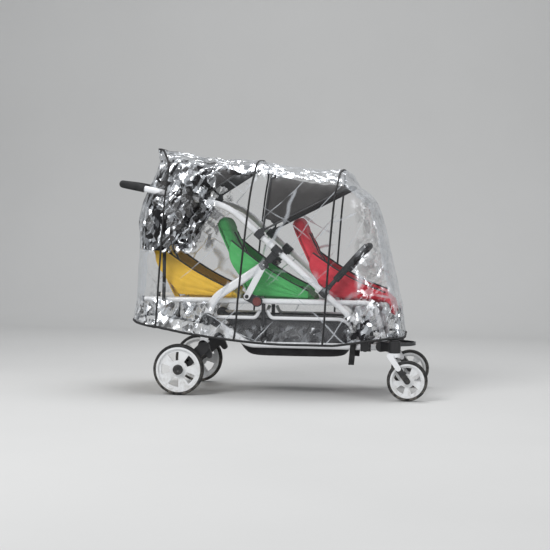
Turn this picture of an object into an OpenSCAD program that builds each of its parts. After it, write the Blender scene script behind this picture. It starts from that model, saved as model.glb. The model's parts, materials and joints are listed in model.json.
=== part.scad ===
// Three-seat tandem stroller with a clear rain cover.
// Built in millimetres, +X to the front, +Y to the rider's left, +Z up, standing on its four wheels.
// Inside the modules, x is measured from the rear axle; place() moves the part so that x = 0 is its middle.

/* [Wheels] */
// Outside diameter of the rear tyres
rear_wheel_d = 230; // [216:1:236]
// Outside diameter of the front tyres
front_wheel_d = 180; // [168:1:186]
// Distance from the rear axle to the front axles
wheel_base = 1022; // [1006:1:1040]
// Distance between the left and right wheels, centre to centre
track = 530; // [526:1:540]
// Width of the rear tyres
rear_tyre_w = 36; // [32:1:38]
// Width of the front tyres
front_tyre_w = 32; // [28:1:34]
// Depth of the tyre tread over the rim
tyre_h = 14; // [10:1:16]
// Diameter of the wheel axles
axle_d = 12; // [10:0.5:13]
// Distance that the front wheels trail from their swivels
trail = 57; // [50:1:60]

/* [Frame tubes] */
// Diameter of the push bar and the lower rails
tube_d = 28; // [25:0.5:30]
// Diameter of the seat rails
seat_rail_d = 25; // [22:0.5:26]
// Diameter of the cross tubes
cross_d = 20; // [16:0.5:22]
// Diameter of the basket rim tubes
rim_tube_d = 16; // [12:0.5:18]
// Half-width between the centres of the seat rails and lower rails
rail_y = 185; // [183:0.5:186]
// Half-width between the centres of the push bar's arms
push_y = 218; // [217:0.5:220]
// Half-width between the centres of the rear legs
leg_y = 222; // [221:0.5:223]
// Depth of the rear legs' flat-sided oval tube
leg_w = 38; // [34:1:40]
// Thickness of the rear legs' tube
leg_t = 20; // [18:0.5:20.5]
// Height of the seat rails
seat_rail_z = 424; // [418:1:430]
// Height of the lower rails
lower_rail_z = 228; // [226:1:232]

/* [Push bar] */
// Distance of the push bar's pivot from the rear axle
pivot_x = 808; // [800:1:814]
// Height of the push bar's pivot
pivot_z = 325; // [320:1:330]
// Slope of the push bar's long run, in degrees
push_angle = 41.1; // [40:0.1:42]
// Slope of the handle part, in degrees
grip_angle = 10.8; // [8:0.1:13]
// Length of the long run, from the pivot to the corner of the bend
push_run = 800; // [790:1:812]
// Length of the handle part, from the corner to the crossbar
grip_run = 498; // [480:1:515]
// Radius of the push bar's bend
push_bend_r = 260; // [220:5:300]
// Outside diameter of the foam grip
grip_d = 34; // [33:0.5:38]
// Where the rear leg's bracket sits on the push bar, from the pivot
bracket_run = 499; // [492:1:506]
// How far the leg's pin lies below the push bar
bracket_drop = 86; // [80:1:92]

/* [Rear legs] */
// Distance of the leg pivot from the rear axle
knuckle_x = 122; // [118:1:126]
// Height of the leg pivot
knuckle_z = 342; // [338:1:346]
// Slope of the lower leg, in degrees
leg_foot_angle = 80.8; // [78:0.2:83]
// Length from the leg pivot up to the corner of the bend
leg_corner_run = 85; // [80:1:92]
// Radius of the leg's bend
leg_bend_r = 150; // [130:2:160]
// Length of the leg below its pivot
leg_foot_run = 120; // [114:1:124]

/* [Seats] */
// Distance from one seat to the next
seat_pitch = 346; // [340:1:352]
// Width of the seats
seat_w = 326; // [310:1:332]
// Length of the seat cushions
seat_l = 212; // [200:1:218]
// Thickness of the seat cushions and backs
pad_t = 40; // [32:1:42]
// Length of the backs
back_l = 362; // [340:1:370]
// Lean of the backs behind upright, in degrees
back_lean = 26; // [24:0.5:28]

/* [Hoods and cover] */
// Diameter of the hood bows
bow_d = 9; // [7:0.5:10]
// Thickness of the cover film and the hood cloth
film_t = 2; // [1.6:0.1:2.4]
// Half-width of the rain cover at its hem
cover_hem_y = 302; // [301:0.5:306]
// Height of the rain cover's rear ridge above the rear hood's pins
cover_rise = 213; // [208:1:220]

/* [Bumper bar] */
// Length of the bumper bar's arms
bumper_l = 268; // [255:1:275]
// Diameter of the bumper bar's foam
bumper_d = 31; // [29:0.5:33]

/* [Hidden] */
clear = 0.3;
run_fit = 0.05;
stem_fit = 0.15;
bend_swell = 0.05;
bend_lap = 1;
rear_r = rear_wheel_d / 2;
front_r = front_wheel_d / 2;
tube_r = tube_d / 2;
wheel_y = track / 2;
sides = [-1, 1];
through = 300;

// colours
white = [0.9, 0.9, 0.9];
black = [0.1, 0.1, 0.1];
grey = [0.45, 0.45, 0.47];
steel = [0.7, 0.7, 0.72];
hood_black = [0.16, 0.16, 0.18];
basket_black = [0.13, 0.13, 0.14];
clear_film = [0.85, 0.9, 0.95, 0.35];
seat_tints = [[0.9, 0.68, 0.05], [0.1, 0.6, 0.2], [0.8, 0.08, 0.12]];

// push bar lines, in the side view
push_dir = [-cos(push_angle), sin(push_angle)];
push_normal = [-sin(push_angle), -cos(push_angle)];
pivot = [pivot_x, pivot_z];
push_corner = pivot + push_run * push_dir;
grip_dir = [-cos(grip_angle), sin(grip_angle)];
handle_at = push_corner + grip_run * grip_dir;
push_turn = push_angle - grip_angle;
push_tangent = push_bend_r * tan(push_turn / 2);
function on_push(run) = pivot + run * push_dir;

// rear leg lines, in the side view
leg_pin = on_push(bracket_run) + bracket_drop * push_normal;
knuckle = [knuckle_x, knuckle_z];
foot_dir = [cos(leg_foot_angle), sin(leg_foot_angle)];
leg_corner = knuckle + leg_corner_run * foot_dir;
leg_top_angle = atan2(leg_pin[1] - leg_corner[1], leg_pin[0] - leg_corner[0]);
leg_turn = leg_foot_angle - leg_top_angle;
leg_tangent = leg_bend_r * tan(leg_turn / 2);
leg_foot = knuckle - leg_foot_run * foot_dir;
pin_d = 12;

// places along the push bar, measured from its pivot
bumper_run = 217;
front_clamp_run = 607;
rear_clamp_run = 110;

// the part's own middle
front_end = wheel_base + front_r;
rear_end = handle_at[0] - grip_d / 2;
middle_x = (front_end + rear_end) / 2;

module place() { translate([-middle_x, 0, 0]) children(); }
// Draws in the side view: a drawing's x is the part's x and its y the part's z; its height runs to +Y
module side_view(y0) { translate([0, y0, 0]) rotate([90, 0, 0]) mirror([0, 0, 1]) children(); }
module both_sides() { for (s = sides) scale_side(s) children(); }
module scale_side(s) { if (s < 0) mirror([0, 1, 0]) children(); else children(); }
// A rod along +Y with its middle at [x, z]
module rod_y(at, d, y0, y1) {
  translate([at[0], y0, at[1]]) rotate([-90, 0, 0]) cylinder(h = y1 - y0, d = d, $fn = 48);
}
// A tube's section: round, or a flat-sided oval that is w deep in the plane of its bends
module section(d, w) {
  if (w == 0) circle(d = d, $fn = 48);
  else {
    square([w - d, d], center = true);
    for (s = sides) translate([s * (w - d) / 2, 0]) circle(d = d, $fn = 48);
  }
}
// A bend's section, a hair larger than the straight runs that are let into it
module bend_section(r, d, w) { translate([r, 0]) section(d + 2 * bend_swell, w == 0 ? 0 : w + 2 * bend_swell); }
// A tube along a route in the XY plane: each step is [length] or [radius, angle], positive angles to the left
module run(d, steps, w = 0, i = 0) {
  if (i < len(steps)) {
    s = steps[i];
    if (len(s) == 1) {
      back = i > 0 ? bend_lap : 0;
      ahead = i < len(steps) - 1 ? bend_lap : 0;
      translate([-back, 0, 0]) rotate([0, 90, 0])
        linear_extrude(s[0] + back + ahead) rotate(90) section(d, w);
      translate([s[0], 0, 0]) run(d, steps, w, i + 1);
    } else if (s[1] > 0) {
      translate([0, s[0], 0]) rotate([0, 0, -90])
        rotate_extrude(angle = s[1], $fn = 96) bend_section(s[0], d, w);
      translate([0, s[0], 0]) rotate([0, 0, s[1]]) translate([0, -s[0], 0]) run(d, steps, w, i + 1);
    } else {
      translate([0, -s[0], 0]) rotate([0, 0, 90 + s[1]])
        rotate_extrude(angle = -s[1], $fn = 96) bend_section(s[0], d, w);
      translate([0, -s[0], 0]) rotate([0, 0, s[1]]) translate([0, s[0], 0]) run(d, steps, w, i + 1);
    }
  }
}
// A tube drawn in the side view from a start point, at the given slope and half-width
module side_tube(d, start, slope, y, steps, w = 0) {
  side_view(y) translate(start) rotate(slope) run(d, steps, w);
}
// A flat link between two round ends, in the side view
module link(a, ra, b, rb) {
  gap = b - a;
  lean = atan2(gap[1], gap[0]);
  open = acos((ra - rb) / norm(gap));
  function on(c, r, t) = c + r * [cos(t), sin(t)];
  polygon([on(a, ra, lean + open), on(a, ra, lean - open), on(b, rb, lean - open), on(b, rb, lean + open)]);
  translate(a) circle(r = ra, $fn = 64);
  translate(b) circle(r = rb, $fn = 64);
}
module plate(a, ra, b, rb, y0, y1) { side_view(y0) linear_extrude(y1 - y0) link(a, ra, b, rb); }
// A U-shaped bar: its arms start at a point of the side view, slope away and meet in a crossbar at that length
module u_bar(d, start, slope, arm_y, length, r, skip = 0) {
  translate([start[0], 0, start[1]]) rotate([0, -slope, 0]) translate([skip, -arm_y, 0])
    run(d, [[length - r - skip], [r, 90], [2 * (arm_y - r)], [r, 90], [length - r - skip]]);
}
// A sleeve round a tube that runs in the side view
module sleeve(at, slope, d, length, y) {
  side_view(y) translate(at) rotate(slope) translate([-length / 2, 0, 0]) run(d, [[length]]);
}
// The two triangles of a four-sided face, given its corners in order
function two(a, b, c, d) = [[a, b, c], [a, c, d]];
// A solid between two grids of points, top and bottom, with the same rows and columns
module sheet(top, bottom) {
  r = len(top);
  c = len(top[0]);
  flat = [for (g = [top, bottom]) for (row = g) for (p = row) p];
  function at(g, i, j) = g * r * c + i * c + j;
  tops = [for (i = [0:r - 2]) for (j = [0:c - 2])
    each two(at(0, i, j), at(0, i, j + 1), at(0, i + 1, j + 1), at(0, i + 1, j))];
  lows = [for (i = [0:r - 2]) for (j = [0:c - 2])
    each two(at(1, i, j), at(1, i + 1, j), at(1, i + 1, j + 1), at(1, i, j + 1))];
  ends = [for (j = [0:c - 2]) each concat(
    two(at(0, 0, j), at(1, 0, j), at(1, 0, j + 1), at(0, 0, j + 1)),
    two(at(0, r - 1, j), at(0, r - 1, j + 1), at(1, r - 1, j + 1), at(1, r - 1, j)))];
  edges = [for (i = [0:r - 2]) each concat(
    two(at(0, i, 0), at(0, i + 1, 0), at(1, i + 1, 0), at(1, i, 0)),
    two(at(0, i, c - 1), at(1, i, c - 1), at(1, i + 1, c - 1), at(0, i + 1, c - 1)))];
  polyhedron(flat, concat(tops, lows, ends, edges), convexity = 8);
}
// A shell between an outer and an inner stack of closed loops, open at the first loop and closed at the last
module cup(outer, inner) {
  r = len(outer);
  c = len(outer[0]);
  function mean(loop) = [for (k = [0:2]) let (v = [for (p = loop) p[k]]) v * [for (p = loop) 1] / len(loop)];
  flat = concat([for (g = [outer, inner]) for (row = g) for (p = row) p],
    [mean(outer[r - 1]), mean(inner[r - 1])]);
  function at(g, i, j) = g * r * c + i * c + j % c;
  out = [for (i = [0:r - 2]) for (j = [0:c - 1])
    each two(at(0, i, j), at(0, i + 1, j), at(0, i + 1, j + 1), at(0, i, j + 1))];
  in = [for (i = [0:r - 2]) for (j = [0:c - 1])
    each two(at(1, i, j), at(1, i, j + 1), at(1, i + 1, j + 1), at(1, i + 1, j))];
  rim = [for (j = [0:c - 1]) each two(at(0, 0, j), at(0, 0, j + 1), at(1, 0, j + 1), at(1, 0, j))];
  caps = [for (j = [0:c - 1]) each [
    [at(0, r - 1, j), 2 * r * c, at(0, r - 1, j + 1)], [at(1, r - 1, j), at(1, r - 1, j + 1), 2 * r * c + 1]]];
  polyhedron(flat, concat(out, in, rim, caps), convexity = 8);
}

// Wheels
// A wheel's section is drawn in its own radius and width, and turned about the axle
rim_wall = 9;
hub_r = 20;
hub_w = 36;
axle_r = axle_d / 2;
window_count = 5;
window_half_angle = 18.5;
window_span = [0.4, 0.78];
module wheel_at(x, r) { translate([x, wheel_y, r]) rotate([-90, 0, 0]) children(); }
module rim(r, w, first_window) {
  difference() {
    rotate_extrude($fn = 96) difference() {
      union() {
        translate([axle_r + run_fit, -hub_w / 2]) square([hub_r - axle_r, hub_w]);
        translate([hub_r - 2, -5]) square([r - hub_r, 12]);
        translate([r - rim_wall, -w / 2]) square([rim_wall, w]);
      }
      translate([r, 0]) circle(r = 3, $fn = 32);
    }
    for (i = [0:window_count - 1]) rotate([0, 0, first_window + i * 360 / window_count]) intersection() {
      translate([0, 0, -w]) linear_extrude(2 * w)
        polygon([[0, 0], [r * cos(window_half_angle), r * sin(window_half_angle)], [1.2 * r, 0],
                 [r * cos(window_half_angle), -r * sin(window_half_angle)]]);
      rotate_extrude($fn = 96) translate([window_span[0] * r, -w])
        square([(window_span[1] - window_span[0]) * r, 2 * w]);
    }
  }
}
tread_points = 12;
module tyre(r, w) {
  bed = r - tyre_h;
  crown = [for (k = [0:tread_points]) let (t = 180 * k / tread_points - 90)
    [r - (tyre_h - 3) * (1 - pow(cos(t), 0.5)), w / 2 * sin(t)]];
  color(black) rotate_extrude($fn = 96) difference() {
    polygon(concat([[bed, w / 2 - 1]], [[bed, -w / 2 + 1]], crown));
    for (s = sides) translate([r, s * w * 0.2]) square([2.4, 2], center = true);
  }
}
rim_recess = 4;
module rear_rim(s) {
  color(white) scale_side(s) wheel_at(0, rear_r) rim(rear_r - tyre_h, rear_tyre_w - rim_recess, 180);
}
module rear_tyre(s) { scale_side(s) wheel_at(0, rear_r) tyre(rear_r, rear_tyre_w); }
module front_rim(s) {
  color(white) scale_side(s) wheel_at(wheel_base, front_r)
    rim(front_r - tyre_h, front_tyre_w - rim_recess, 270);
}
module front_tyre(s) { scale_side(s) wheel_at(wheel_base, front_r) tyre(front_r, front_tyre_w); }

// Rear axle, with a nut outside each hub
axle_at = [0, rear_r];
hub_in = wheel_y - hub_w / 2;
hub_out = wheel_y + hub_w / 2;
bracket_out = hub_in - clear;
nut_h = 7;
module rear_axle() {
  color(steel) {
    rod_y(axle_at, axle_d, -hub_out - nut_h, hub_out + nut_h);
    rod_y(axle_at, cross_d, -bracket_in, bracket_in);
    both_sides() rod_y(axle_at, axle_d + 9, hub_out + clear, hub_out + nut_h);
  }
}

// Rear legs
leg_in = leg_y - leg_t / 2;
leg_out = leg_y + leg_t / 2;
bracket_in = leg_in - 5;
module leg_tube() {
  side_tube(leg_t, leg_foot, leg_foot_angle, leg_y, [[leg_foot_run + leg_corner_run - leg_tangent],
    [leg_bend_r, -leg_turn], [norm(leg_pin - leg_corner) - leg_tangent + leg_w / 3]], leg_w);
}
module rear_leg_tubes() {
  color(white) both_sides() difference() {
    leg_tube();
    rod_y(leg_pin, pin_d, 0, leg_out + 1);
    rod_y(knuckle, pin_d, 0, leg_out + 1);
  }
}
// The collar round each leg turns on the lower rail's end, on a pin that it carries
collar_r = 28;
collar_wall = 5;
eye_out = rail_y + tube_r;
module leg_collars() {
  color(grey) both_sides() {
    difference() {
      side_view(leg_in - collar_wall) linear_extrude(leg_t + 2 * collar_wall)
        translate(knuckle) circle(r = collar_r, $fn = 64);
      leg_tube();
      rod_y(knuckle, pin_d, 0, leg_out + collar_wall + 1);
    }
    rod_y(knuckle, 2 * pin_d, eye_out + clear, leg_in - collar_wall);
    rod_y(knuckle, pin_d, rail_y - tube_r - 3, leg_out + collar_wall);
  }
}
// Wheel brackets join the legs' feet to the axle, with a nose to the front
nose_at = leg_foot + [30, -46];
module wheel_brackets() {
  color(black) both_sides() difference() {
    union() {
      plate(axle_at, 21, leg_foot + [5, -10], 25, bracket_in, bracket_out);
      plate(leg_foot, 22, nose_at, 13, bracket_in, leg_out);
    }
    leg_tube();
    rod_y(axle_at, axle_d, 0, hub_in);
    rod_y(brake_at, brake_d + 2 * run_fit, 0, hub_in);
  }
}
// Brake: a shaft between the wheel brackets with a foot pedal and a cam by each hub
brake_at = axle_at + 0.36 * (leg_foot - axle_at);
brake_d = 12;
pedal_l = 68;
pedal_angle = 164;
cam_l = 26;
cam_angle = 200;
module brake_bar() {
  pedal_tip = brake_at + pedal_l * [cos(pedal_angle), sin(pedal_angle)];
  cam_tip = brake_at + cam_l * [cos(cam_angle), sin(cam_angle)];
  color(black) {
    rod_y(brake_at, brake_d, -bracket_in - 4, bracket_in + 4);
    plate(brake_at, 11, pedal_tip, 7, -34, 34);
    both_sides() plate(brake_at, 11, cam_tip, 6, bracket_in - 9, bracket_in - clear);
  }
}
// Caps over the top of the legs, each with the pin that the push bar's hook holds
cap_t = 4;
strut_t = 10;
strut_in = leg_out + cap_t;
strut_out = strut_in + strut_t;
pin_in = rail_y + seat_rail_d / 2 + 4;
module leg_caps() {
  color(black) both_sides() {
    rod_y(leg_pin, leg_w + 2, leg_out, strut_in);
    rod_y(leg_pin, pin_d, pin_in, strut_out + 2);
    rod_y(leg_pin, 20, strut_out, strut_out + 3);
  }
}
// Struts brace the legs against the seat rails
strut_l = 160;
strut_slope = 242.5;
strut_r = 14;
strut_foot = leg_pin + strut_l * [cos(strut_slope), sin(strut_slope)];
module lock_struts() {
  color(white) both_sides() difference() {
    plate(leg_pin, strut_r, strut_foot, strut_r, strut_in, strut_out);
    rod_y(leg_pin, pin_d, 0, strut_out + 1);
    rod_y(strut_foot, 8, 0, strut_out + 1);
  }
}
// Latch plates at the struts' feet, each with a cup for its release button
button_at = strut_foot + [46, -21];
button_r = 19;
button_stroke = 5;
cup_floor = strut_in - 6;
plate_in = strut_in - 10;
module latch_plates() {
  color(black) both_sides() {
    difference() {
      union() {
        plate(strut_foot, 19, button_at, 20, plate_in, strut_in);
        rod_y(button_at, 2 * button_r + 10, plate_in, strut_out);
      }
      rod_y(button_at, 2 * (button_r + clear), cup_floor, strut_out + 1);
      rod_y(strut_foot, 8, 0, strut_in + 1);
      plate(leg_pin, strut_r, strut_foot, strut_r, strut_in, strut_out);
    }
    rod_y(strut_foot, 8, plate_in, strut_out);
    rod_y(strut_foot, 17, strut_out, strut_out + 2.5);
  }
}
module release_button(s) {
  color("red") scale_side(s) {
    rod_y(button_at, 2 * button_r, cup_floor + button_stroke + clear, strut_out + button_stroke);
    rod_y(button_at, 2 * button_r - 8, strut_out + button_stroke, strut_out + button_stroke + 1.5);
  }
}

// Lower rails, from the leg pivots down and forward to the front castors
lower_slope = 32.2;
lower_bend_r = 100;
lower_drop = (knuckle_z - lower_rail_z) / sin(lower_slope);
lower_tangent = lower_bend_r * tan(lower_slope / 2);
lower_corner_x = knuckle_x + lower_drop * cos(lower_slope);
swivel_x = wheel_base - trail;
lower_end_x = swivel_x - 68;
lower_dir = [cos(lower_slope), -sin(lower_slope)];
eye_gap = 24;
module lower_rail() {
  side_tube(tube_d, [lower_end_x, lower_rail_z], 180, rail_y, [[lower_end_x - lower_corner_x - lower_tangent],
    [lower_bend_r, -lower_slope], [lower_drop - eye_gap - lower_tangent]]);
}
module lower_rails() { color(white) both_sides() lower_rail(); }
module eye_plate() {
  plate(knuckle, 18, knuckle + 2 * eye_gap * lower_dir, tube_r + 2, rail_y - tube_r, eye_out);
}
module knuckle_eyes() {
  color(black) both_sides() difference() {
    eye_plate();
    lower_rail();
    rear_rim_tube();
    rod_y(knuckle, pin_d + 2 * run_fit, 0, eye_out + 1);
  }
}
// Seat rails, level along the seats and bent down to the castors at the front
seat_rail_back = -175;
seat_rail_front = swivel_x - 97;
seat_rail_drop = 74;
seat_rail_bend_r = 60;
seat_rail_tangent = seat_rail_bend_r * tan(seat_rail_drop / 2);
seat_rail_end_z = lower_rail_z + 24;
module seat_rail() {
  side_tube(seat_rail_d, [seat_rail_back, seat_rail_z], 0, rail_y,
    [[seat_rail_front - seat_rail_back - seat_rail_tangent], [seat_rail_bend_r, -seat_rail_drop],
     [(seat_rail_z - seat_rail_end_z) / sin(seat_rail_drop) - seat_rail_tangent]]);
}
module seat_rails() { color(white) both_sides() seat_rail(); }
seat_rail_foot_x = seat_rail_front + (seat_rail_z - seat_rail_end_z) / tan(seat_rail_drop);
// Black fittings on the rails: end plugs and a post between each lower rail and seat rail
post_x = 370;
post_d = 18;
module rail_post() {
  translate([post_x, rail_y, lower_rail_z]) cylinder(h = seat_rail_z - lower_rail_z, d = post_d, $fn = 48);
}
module rail_fittings() {
  color(black) both_sides() {
    difference() {
      rail_post();
      lower_rail();
      seat_rail();
    }
    sleeve([seat_rail_back - 6, seat_rail_z], 0, seat_rail_d + 2, 12, rail_y);
  }
}
// Tubes across the frame
seat_x = [for (i = [0:2]) -10 + i * seat_pitch];
front_tube_gap = 130;
low_tube_run = 78;
low_tube_at = knuckle + low_tube_run * lower_dir;
foot_tube_at = [swivel_x - 97, lower_rail_z];
module cross_tubes() {
  color(grey) difference() {
    union() {
      for (x = seat_x) for (dx = [0, front_tube_gap]) rod_y([x + dx, seat_rail_z], cross_d, -rail_y, rail_y);
      rod_y(low_tube_at, cross_d, -rail_y, rail_y);
      rod_y(foot_tube_at, cross_d, -rail_y, rail_y);
    }
    both_sides() {
      lower_rail();
      seat_rail();
    }
  }
}
// Clevis brackets on the lower rails that carry the push bar's lower ends
pivot_pin_d = 10;
push_in = push_y - tube_r;
push_out = push_y + tube_r;
ear_t = 7;
eye_r_low = 16;
foot_r_low = 17.5;
bracket_foot = [pivot_x + 25, lower_rail_z];
module pivot_brackets() {
  color(black) both_sides() {
    difference() {
      union() {
        plate(pivot, eye_r_low, bracket_foot, foot_r_low, push_in - clear - ear_t, push_in - clear);
        plate(pivot, eye_r_low, bracket_foot, foot_r_low, push_out + clear, push_out + clear + ear_t);
        plate(bracket_foot + [0, 32], 13, bracket_foot, foot_r_low, push_in - ear_t, push_out + ear_t);
        sleeve(bracket_foot, 0, tube_d + 12, 46, rail_y);
      }
      lower_rail();
      rod_y(pivot, pivot_pin_d, 0, through);
    }
    rod_y(pivot, pivot_pin_d, push_in - clear - ear_t, push_out + clear + ear_t);
    rod_y(pivot, pivot_pin_d + 7, push_out + clear + ear_t, push_out + clear + ear_t + 3);
  }
}
// Castor brackets: a block on the rails' front ends, an arm, and the swivel's housing
housing_r = 26;
housing_low = lower_rail_z - 16;
housing_high = lower_rail_z + 34;
stem_d = 16;
block_in = rail_y - 17;
block_x = swivel_x - 52;
arm_root_r = 20;
module castor_brackets() {
  color(black) both_sides() difference() {
    union() {
      plate([block_x - 12, lower_rail_z + 4], 23, [block_x + 14, lower_rail_z + 8], 23, block_in, rail_y + 18);
      translate([0, 0, housing_low + 3]) linear_extrude(housing_high - housing_low - 9)
        link([block_x, rail_y], arm_root_r, [swivel_x, wheel_y], arm_root_r + 2);
      translate([swivel_x, wheel_y, housing_low])
        cylinder(h = housing_high - housing_low, r = housing_r, $fn = 64);
      translate([swivel_x, wheel_y, housing_high]) cylinder(h = 5, r = housing_r - 7, $fn = 64);
    }
    lower_rail();
    seat_rail();
    translate([swivel_x, wheel_y, 0]) cylinder(h = housing_high - 3, d = stem_d + 2 * stem_fit, $fn = 48);
  }
}
// Moulded footrest between the castor brackets, a tray with a lip and ribs
foot_nose = wheel_base + 30;
foot_r = 100;
foot_z = lower_rail_z - 2;
foot_lip = 14;
module foot_outline(inset) {
  back = foot_tube_at[0] + cross_d / 2 + clear + inset;
  half = rail_y - arm_root_r - clear - inset;
  intersection() {
    translate([foot_nose - foot_r, 0]) circle(r = foot_r - inset, $fn = 96);
    translate([foot_nose - foot_r, -foot_r]) square([foot_r, 2 * foot_r]);
  }
  polygon([[back, -half], [back, half], [swivel_x - 30, half], [foot_nose - foot_r + 10, foot_r - inset],
           [foot_nose - foot_r + 10, inset - foot_r], [swivel_x - 30, -half]]);
}
module footrest() {
  color(black) {
    difference() {
      translate([0, 0, foot_z]) linear_extrude(foot_lip) foot_outline(0);
      translate([0, 0, foot_z + 5]) linear_extrude(foot_lip) foot_outline(6);
    }
    for (y = [-90:30:90]) translate([swivel_x - 60, y - 3, foot_z + 4]) cube([70, 6, 5]);
  }
}
// Castor forks: a stem and crown with two arms, and black feet that hold the axle
arm_in = front_tyre_w / 2 + 5;
arm_t = 9;
crown_z = housing_low - clear;
crown_at = [swivel_x - 22, crown_z - 10.5];
knee_at = [wheel_base - 40, front_r + 56];
front_axle = [wheel_base, front_r];
module fork_arms(grow = 0) {
  for (y = [wheel_y - arm_in - arm_t, wheel_y + arm_in])
    plate(crown_at, 12, knee_at, 12, y - grow, y + arm_t + grow);
}
module castor_fork(s) {
  color(white) scale_side(s) {
    translate([swivel_x, wheel_y, crown_z - 18]) cylinder(h = 18, r = housing_r - 1, $fn = 64);
    translate([swivel_x, wheel_y, crown_z - 1]) cylinder(h = housing_high - crown_z - 5, d = stem_d, $fn = 48);
    plate(crown_at, 9, crown_at + [10, 0], 9, wheel_y - arm_in - arm_t, wheel_y + arm_in + arm_t);
    fork_arms();
  }
}
module fork_feet(s) {
  color(black) scale_side(s) {
    difference() {
      for (y = [wheel_y - arm_in - arm_t, wheel_y + arm_in])
        plate(knee_at + [4, -6], 14, front_axle, 13, y, y + arm_t);
      fork_arms(1);
      rod_y(front_axle, axle_d, 0, 2 * through);
    }
    rod_y(front_axle, axle_d, wheel_y - arm_in - arm_t - 3, wheel_y + arm_in + arm_t + 3);
    for (y = [wheel_y - arm_in - arm_t - 4, wheel_y + arm_in + arm_t]) rod_y(front_axle, axle_d + 7, y, y + 4);
  }
}

// Push bar: two bent arms, and a handle that is joined on at their ends
arm_tail = 15;
handle_l = 135;
handle_r = 55;
module push_arm() {
  side_tube(tube_d, pivot - arm_tail * push_dir, 180 - push_angle, push_y,
    [[arm_tail + push_run - push_tangent],
    [push_bend_r, push_turn], [grip_run - push_tangent - handle_l]]);
}
module push_arms() {
  color(white) both_sides() difference() {
    push_arm();
    rod_y(pivot, pivot_pin_d + 2 * run_fit, 0, through);
  }
}
module handle_route(d, skip) {
  u_bar(d, handle_at - handle_l * grip_dir, 180 - grip_angle, push_y, handle_l, handle_r, skip);
}
module handle_bar() { color(white) handle_route(tube_d, 0); }
grip_skip = 22;
module handle_grip() {
  color(black) difference() {
    handle_route(grip_d, grip_skip);
    handle_route(tube_d + clear, grip_skip - 1);
  }
}
// Brackets on the push bar that hook over the rear legs' pins
hook_in = pin_in - 1;
hook_out = leg_in - 2.5;
hook_fit = 0.8;
module leg_brackets() {
  at = on_push(bracket_run);
  color(black) both_sides() difference() {
    union() {
      sleeve(at, 180 - push_angle, tube_d + 10, 46, push_y);
      plate(at, 17, leg_pin, 15, hook_in, hook_out);
    }
    push_arm();
    rod_y(leg_pin, pin_d + 2 * hook_fit, 0, through);
    translate([leg_pin[0], 0, leg_pin[1] - pin_d / 2 - hook_fit]) cube([40, 300, pin_d + 2 * hook_fit]);
  }
}
// Clamps on the push bar with an ear and a pin for what turns there
up_push = -push_normal;
up_grip = [sin(grip_angle), cos(grip_angle)];
ear_in = push_out + 0.5;
ear_out = push_out + 8;
clamp_pin_d = 8;
pin_root = push_y - 13;
hood_lift = 28;
front_clamp = on_push(front_clamp_run);
front_hood_at = front_clamp + hood_lift * up_push;
rear_clamp = push_corner + rear_clamp_run * grip_dir;
rear_hood_at = rear_clamp + hood_lift * up_grip;
cover_top = rear_hood_at[1] + cover_rise;
bumper_clamp = on_push(bumper_run);
bumper_lift = 34;
bumper_at = bumper_clamp + bumper_lift * up_push;
module clamp(at, slope, axis_at) {
  both_sides() {
    difference() {
      union() {
        sleeve(at, slope, tube_d + 10, 36, push_y);
        plate(at, 17, axis_at, 11, ear_in, ear_out);
      }
      push_arm();
    }
    rod_y(axis_at, clamp_pin_d, pin_root, ear_out);
  }
}
module hood_clamps() {
  color(black) {
    clamp(front_clamp, 180 - push_angle, front_hood_at);
    clamp(rear_clamp, 180 - grip_angle, rear_hood_at);
  }
}
module bumper_clamps() { color(black) clamp(bumper_clamp, 180 - push_angle, bumper_at); }

// Hood bows: each hood has a fixed rear bow and a front bow that folds back
eye_r = 9;
eye_lip = 0.6;
fixed_y = push_y + 5;
moving_y = push_y - 6;
bow_bend_r = 80;
front_hood_back = [82.7, 252];
front_hood_front = [27, 440];
ridge_gap = 60;
bow_drop = 69.5;
rear_hood_back = [136, (cover_rise - ridge_gap) / sin(136)];
rear_hood_front = [33.2, (cover_rise - bow_drop) / sin(33.2)];
module bow(at, reach, y, fit) {
  color(black) difference() {
    union() {
      u_bar(bow_d, at, reach[0], y, reach[1], bow_bend_r);
      both_sides() rod_y(at, 2 * eye_r, y - bow_d / 2 - eye_lip, y + bow_d / 2 + eye_lip);
    }
    both_sides() rod_y(at, clamp_pin_d + 2 * fit, 0, through);
  }
}
module hood_back_bows() {
  bow(front_hood_at, front_hood_back, fixed_y, 0);
  bow(rear_hood_at, rear_hood_back, fixed_y, 0);
}
module front_hood_bow() { bow(front_hood_at, front_hood_front, moving_y, run_fit); }
module rear_hood_bow() { bow(rear_hood_at, rear_hood_front, moving_y, run_fit); }
// Hood cloth: arched ribs drawn taut from the back bow to the front bow, just inside the bows
hood_ribs = 10;
hood_inset = bow_d / 2 + clear;
hood_from = 75;
corner_steps = 4;
function polar(at) = at[1] * [cos(at[0]), sin(at[0])];
// Half of a rib as [distance from the bow's pivot, half-width]: up the side and round the corner to the middle
function half_rib(reach, y, inset) = concat(
  [for (f = [0, 0.5]) [hood_from + f * (reach - bow_bend_r - hood_from), y - inset]],
  [for (i = [0:corner_steps]) let (a = 90 * i / corner_steps)
    [reach - bow_bend_r + (bow_bend_r - inset) * sin(a), y - bow_bend_r + (bow_bend_r - inset) * cos(a)]],
  [[reach - inset, 0]]);
function hood_rib(at, tip, y, inset) =
  let (half = half_rib(norm(tip), y, inset), n = len(half) - 1, dir = tip / norm(tip))
  [for (k = [-n:n]) let (h = half[n - abs(k)]) [at[0] + h[0] * dir[0], sign(k) * h[1], at[1] + h[0] * dir[1]]];
function hood_grid(at, from, to, y, sag, inset) = [for (i = [0:hood_ribs])
  let (t = i / hood_ribs, chord = (1 - t) * from + t * to)
  hood_rib(at, chord * (1 - sag * sin(180 * t) / norm(chord)), (1 - t) * y[0] + t * y[1], inset)];
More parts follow.
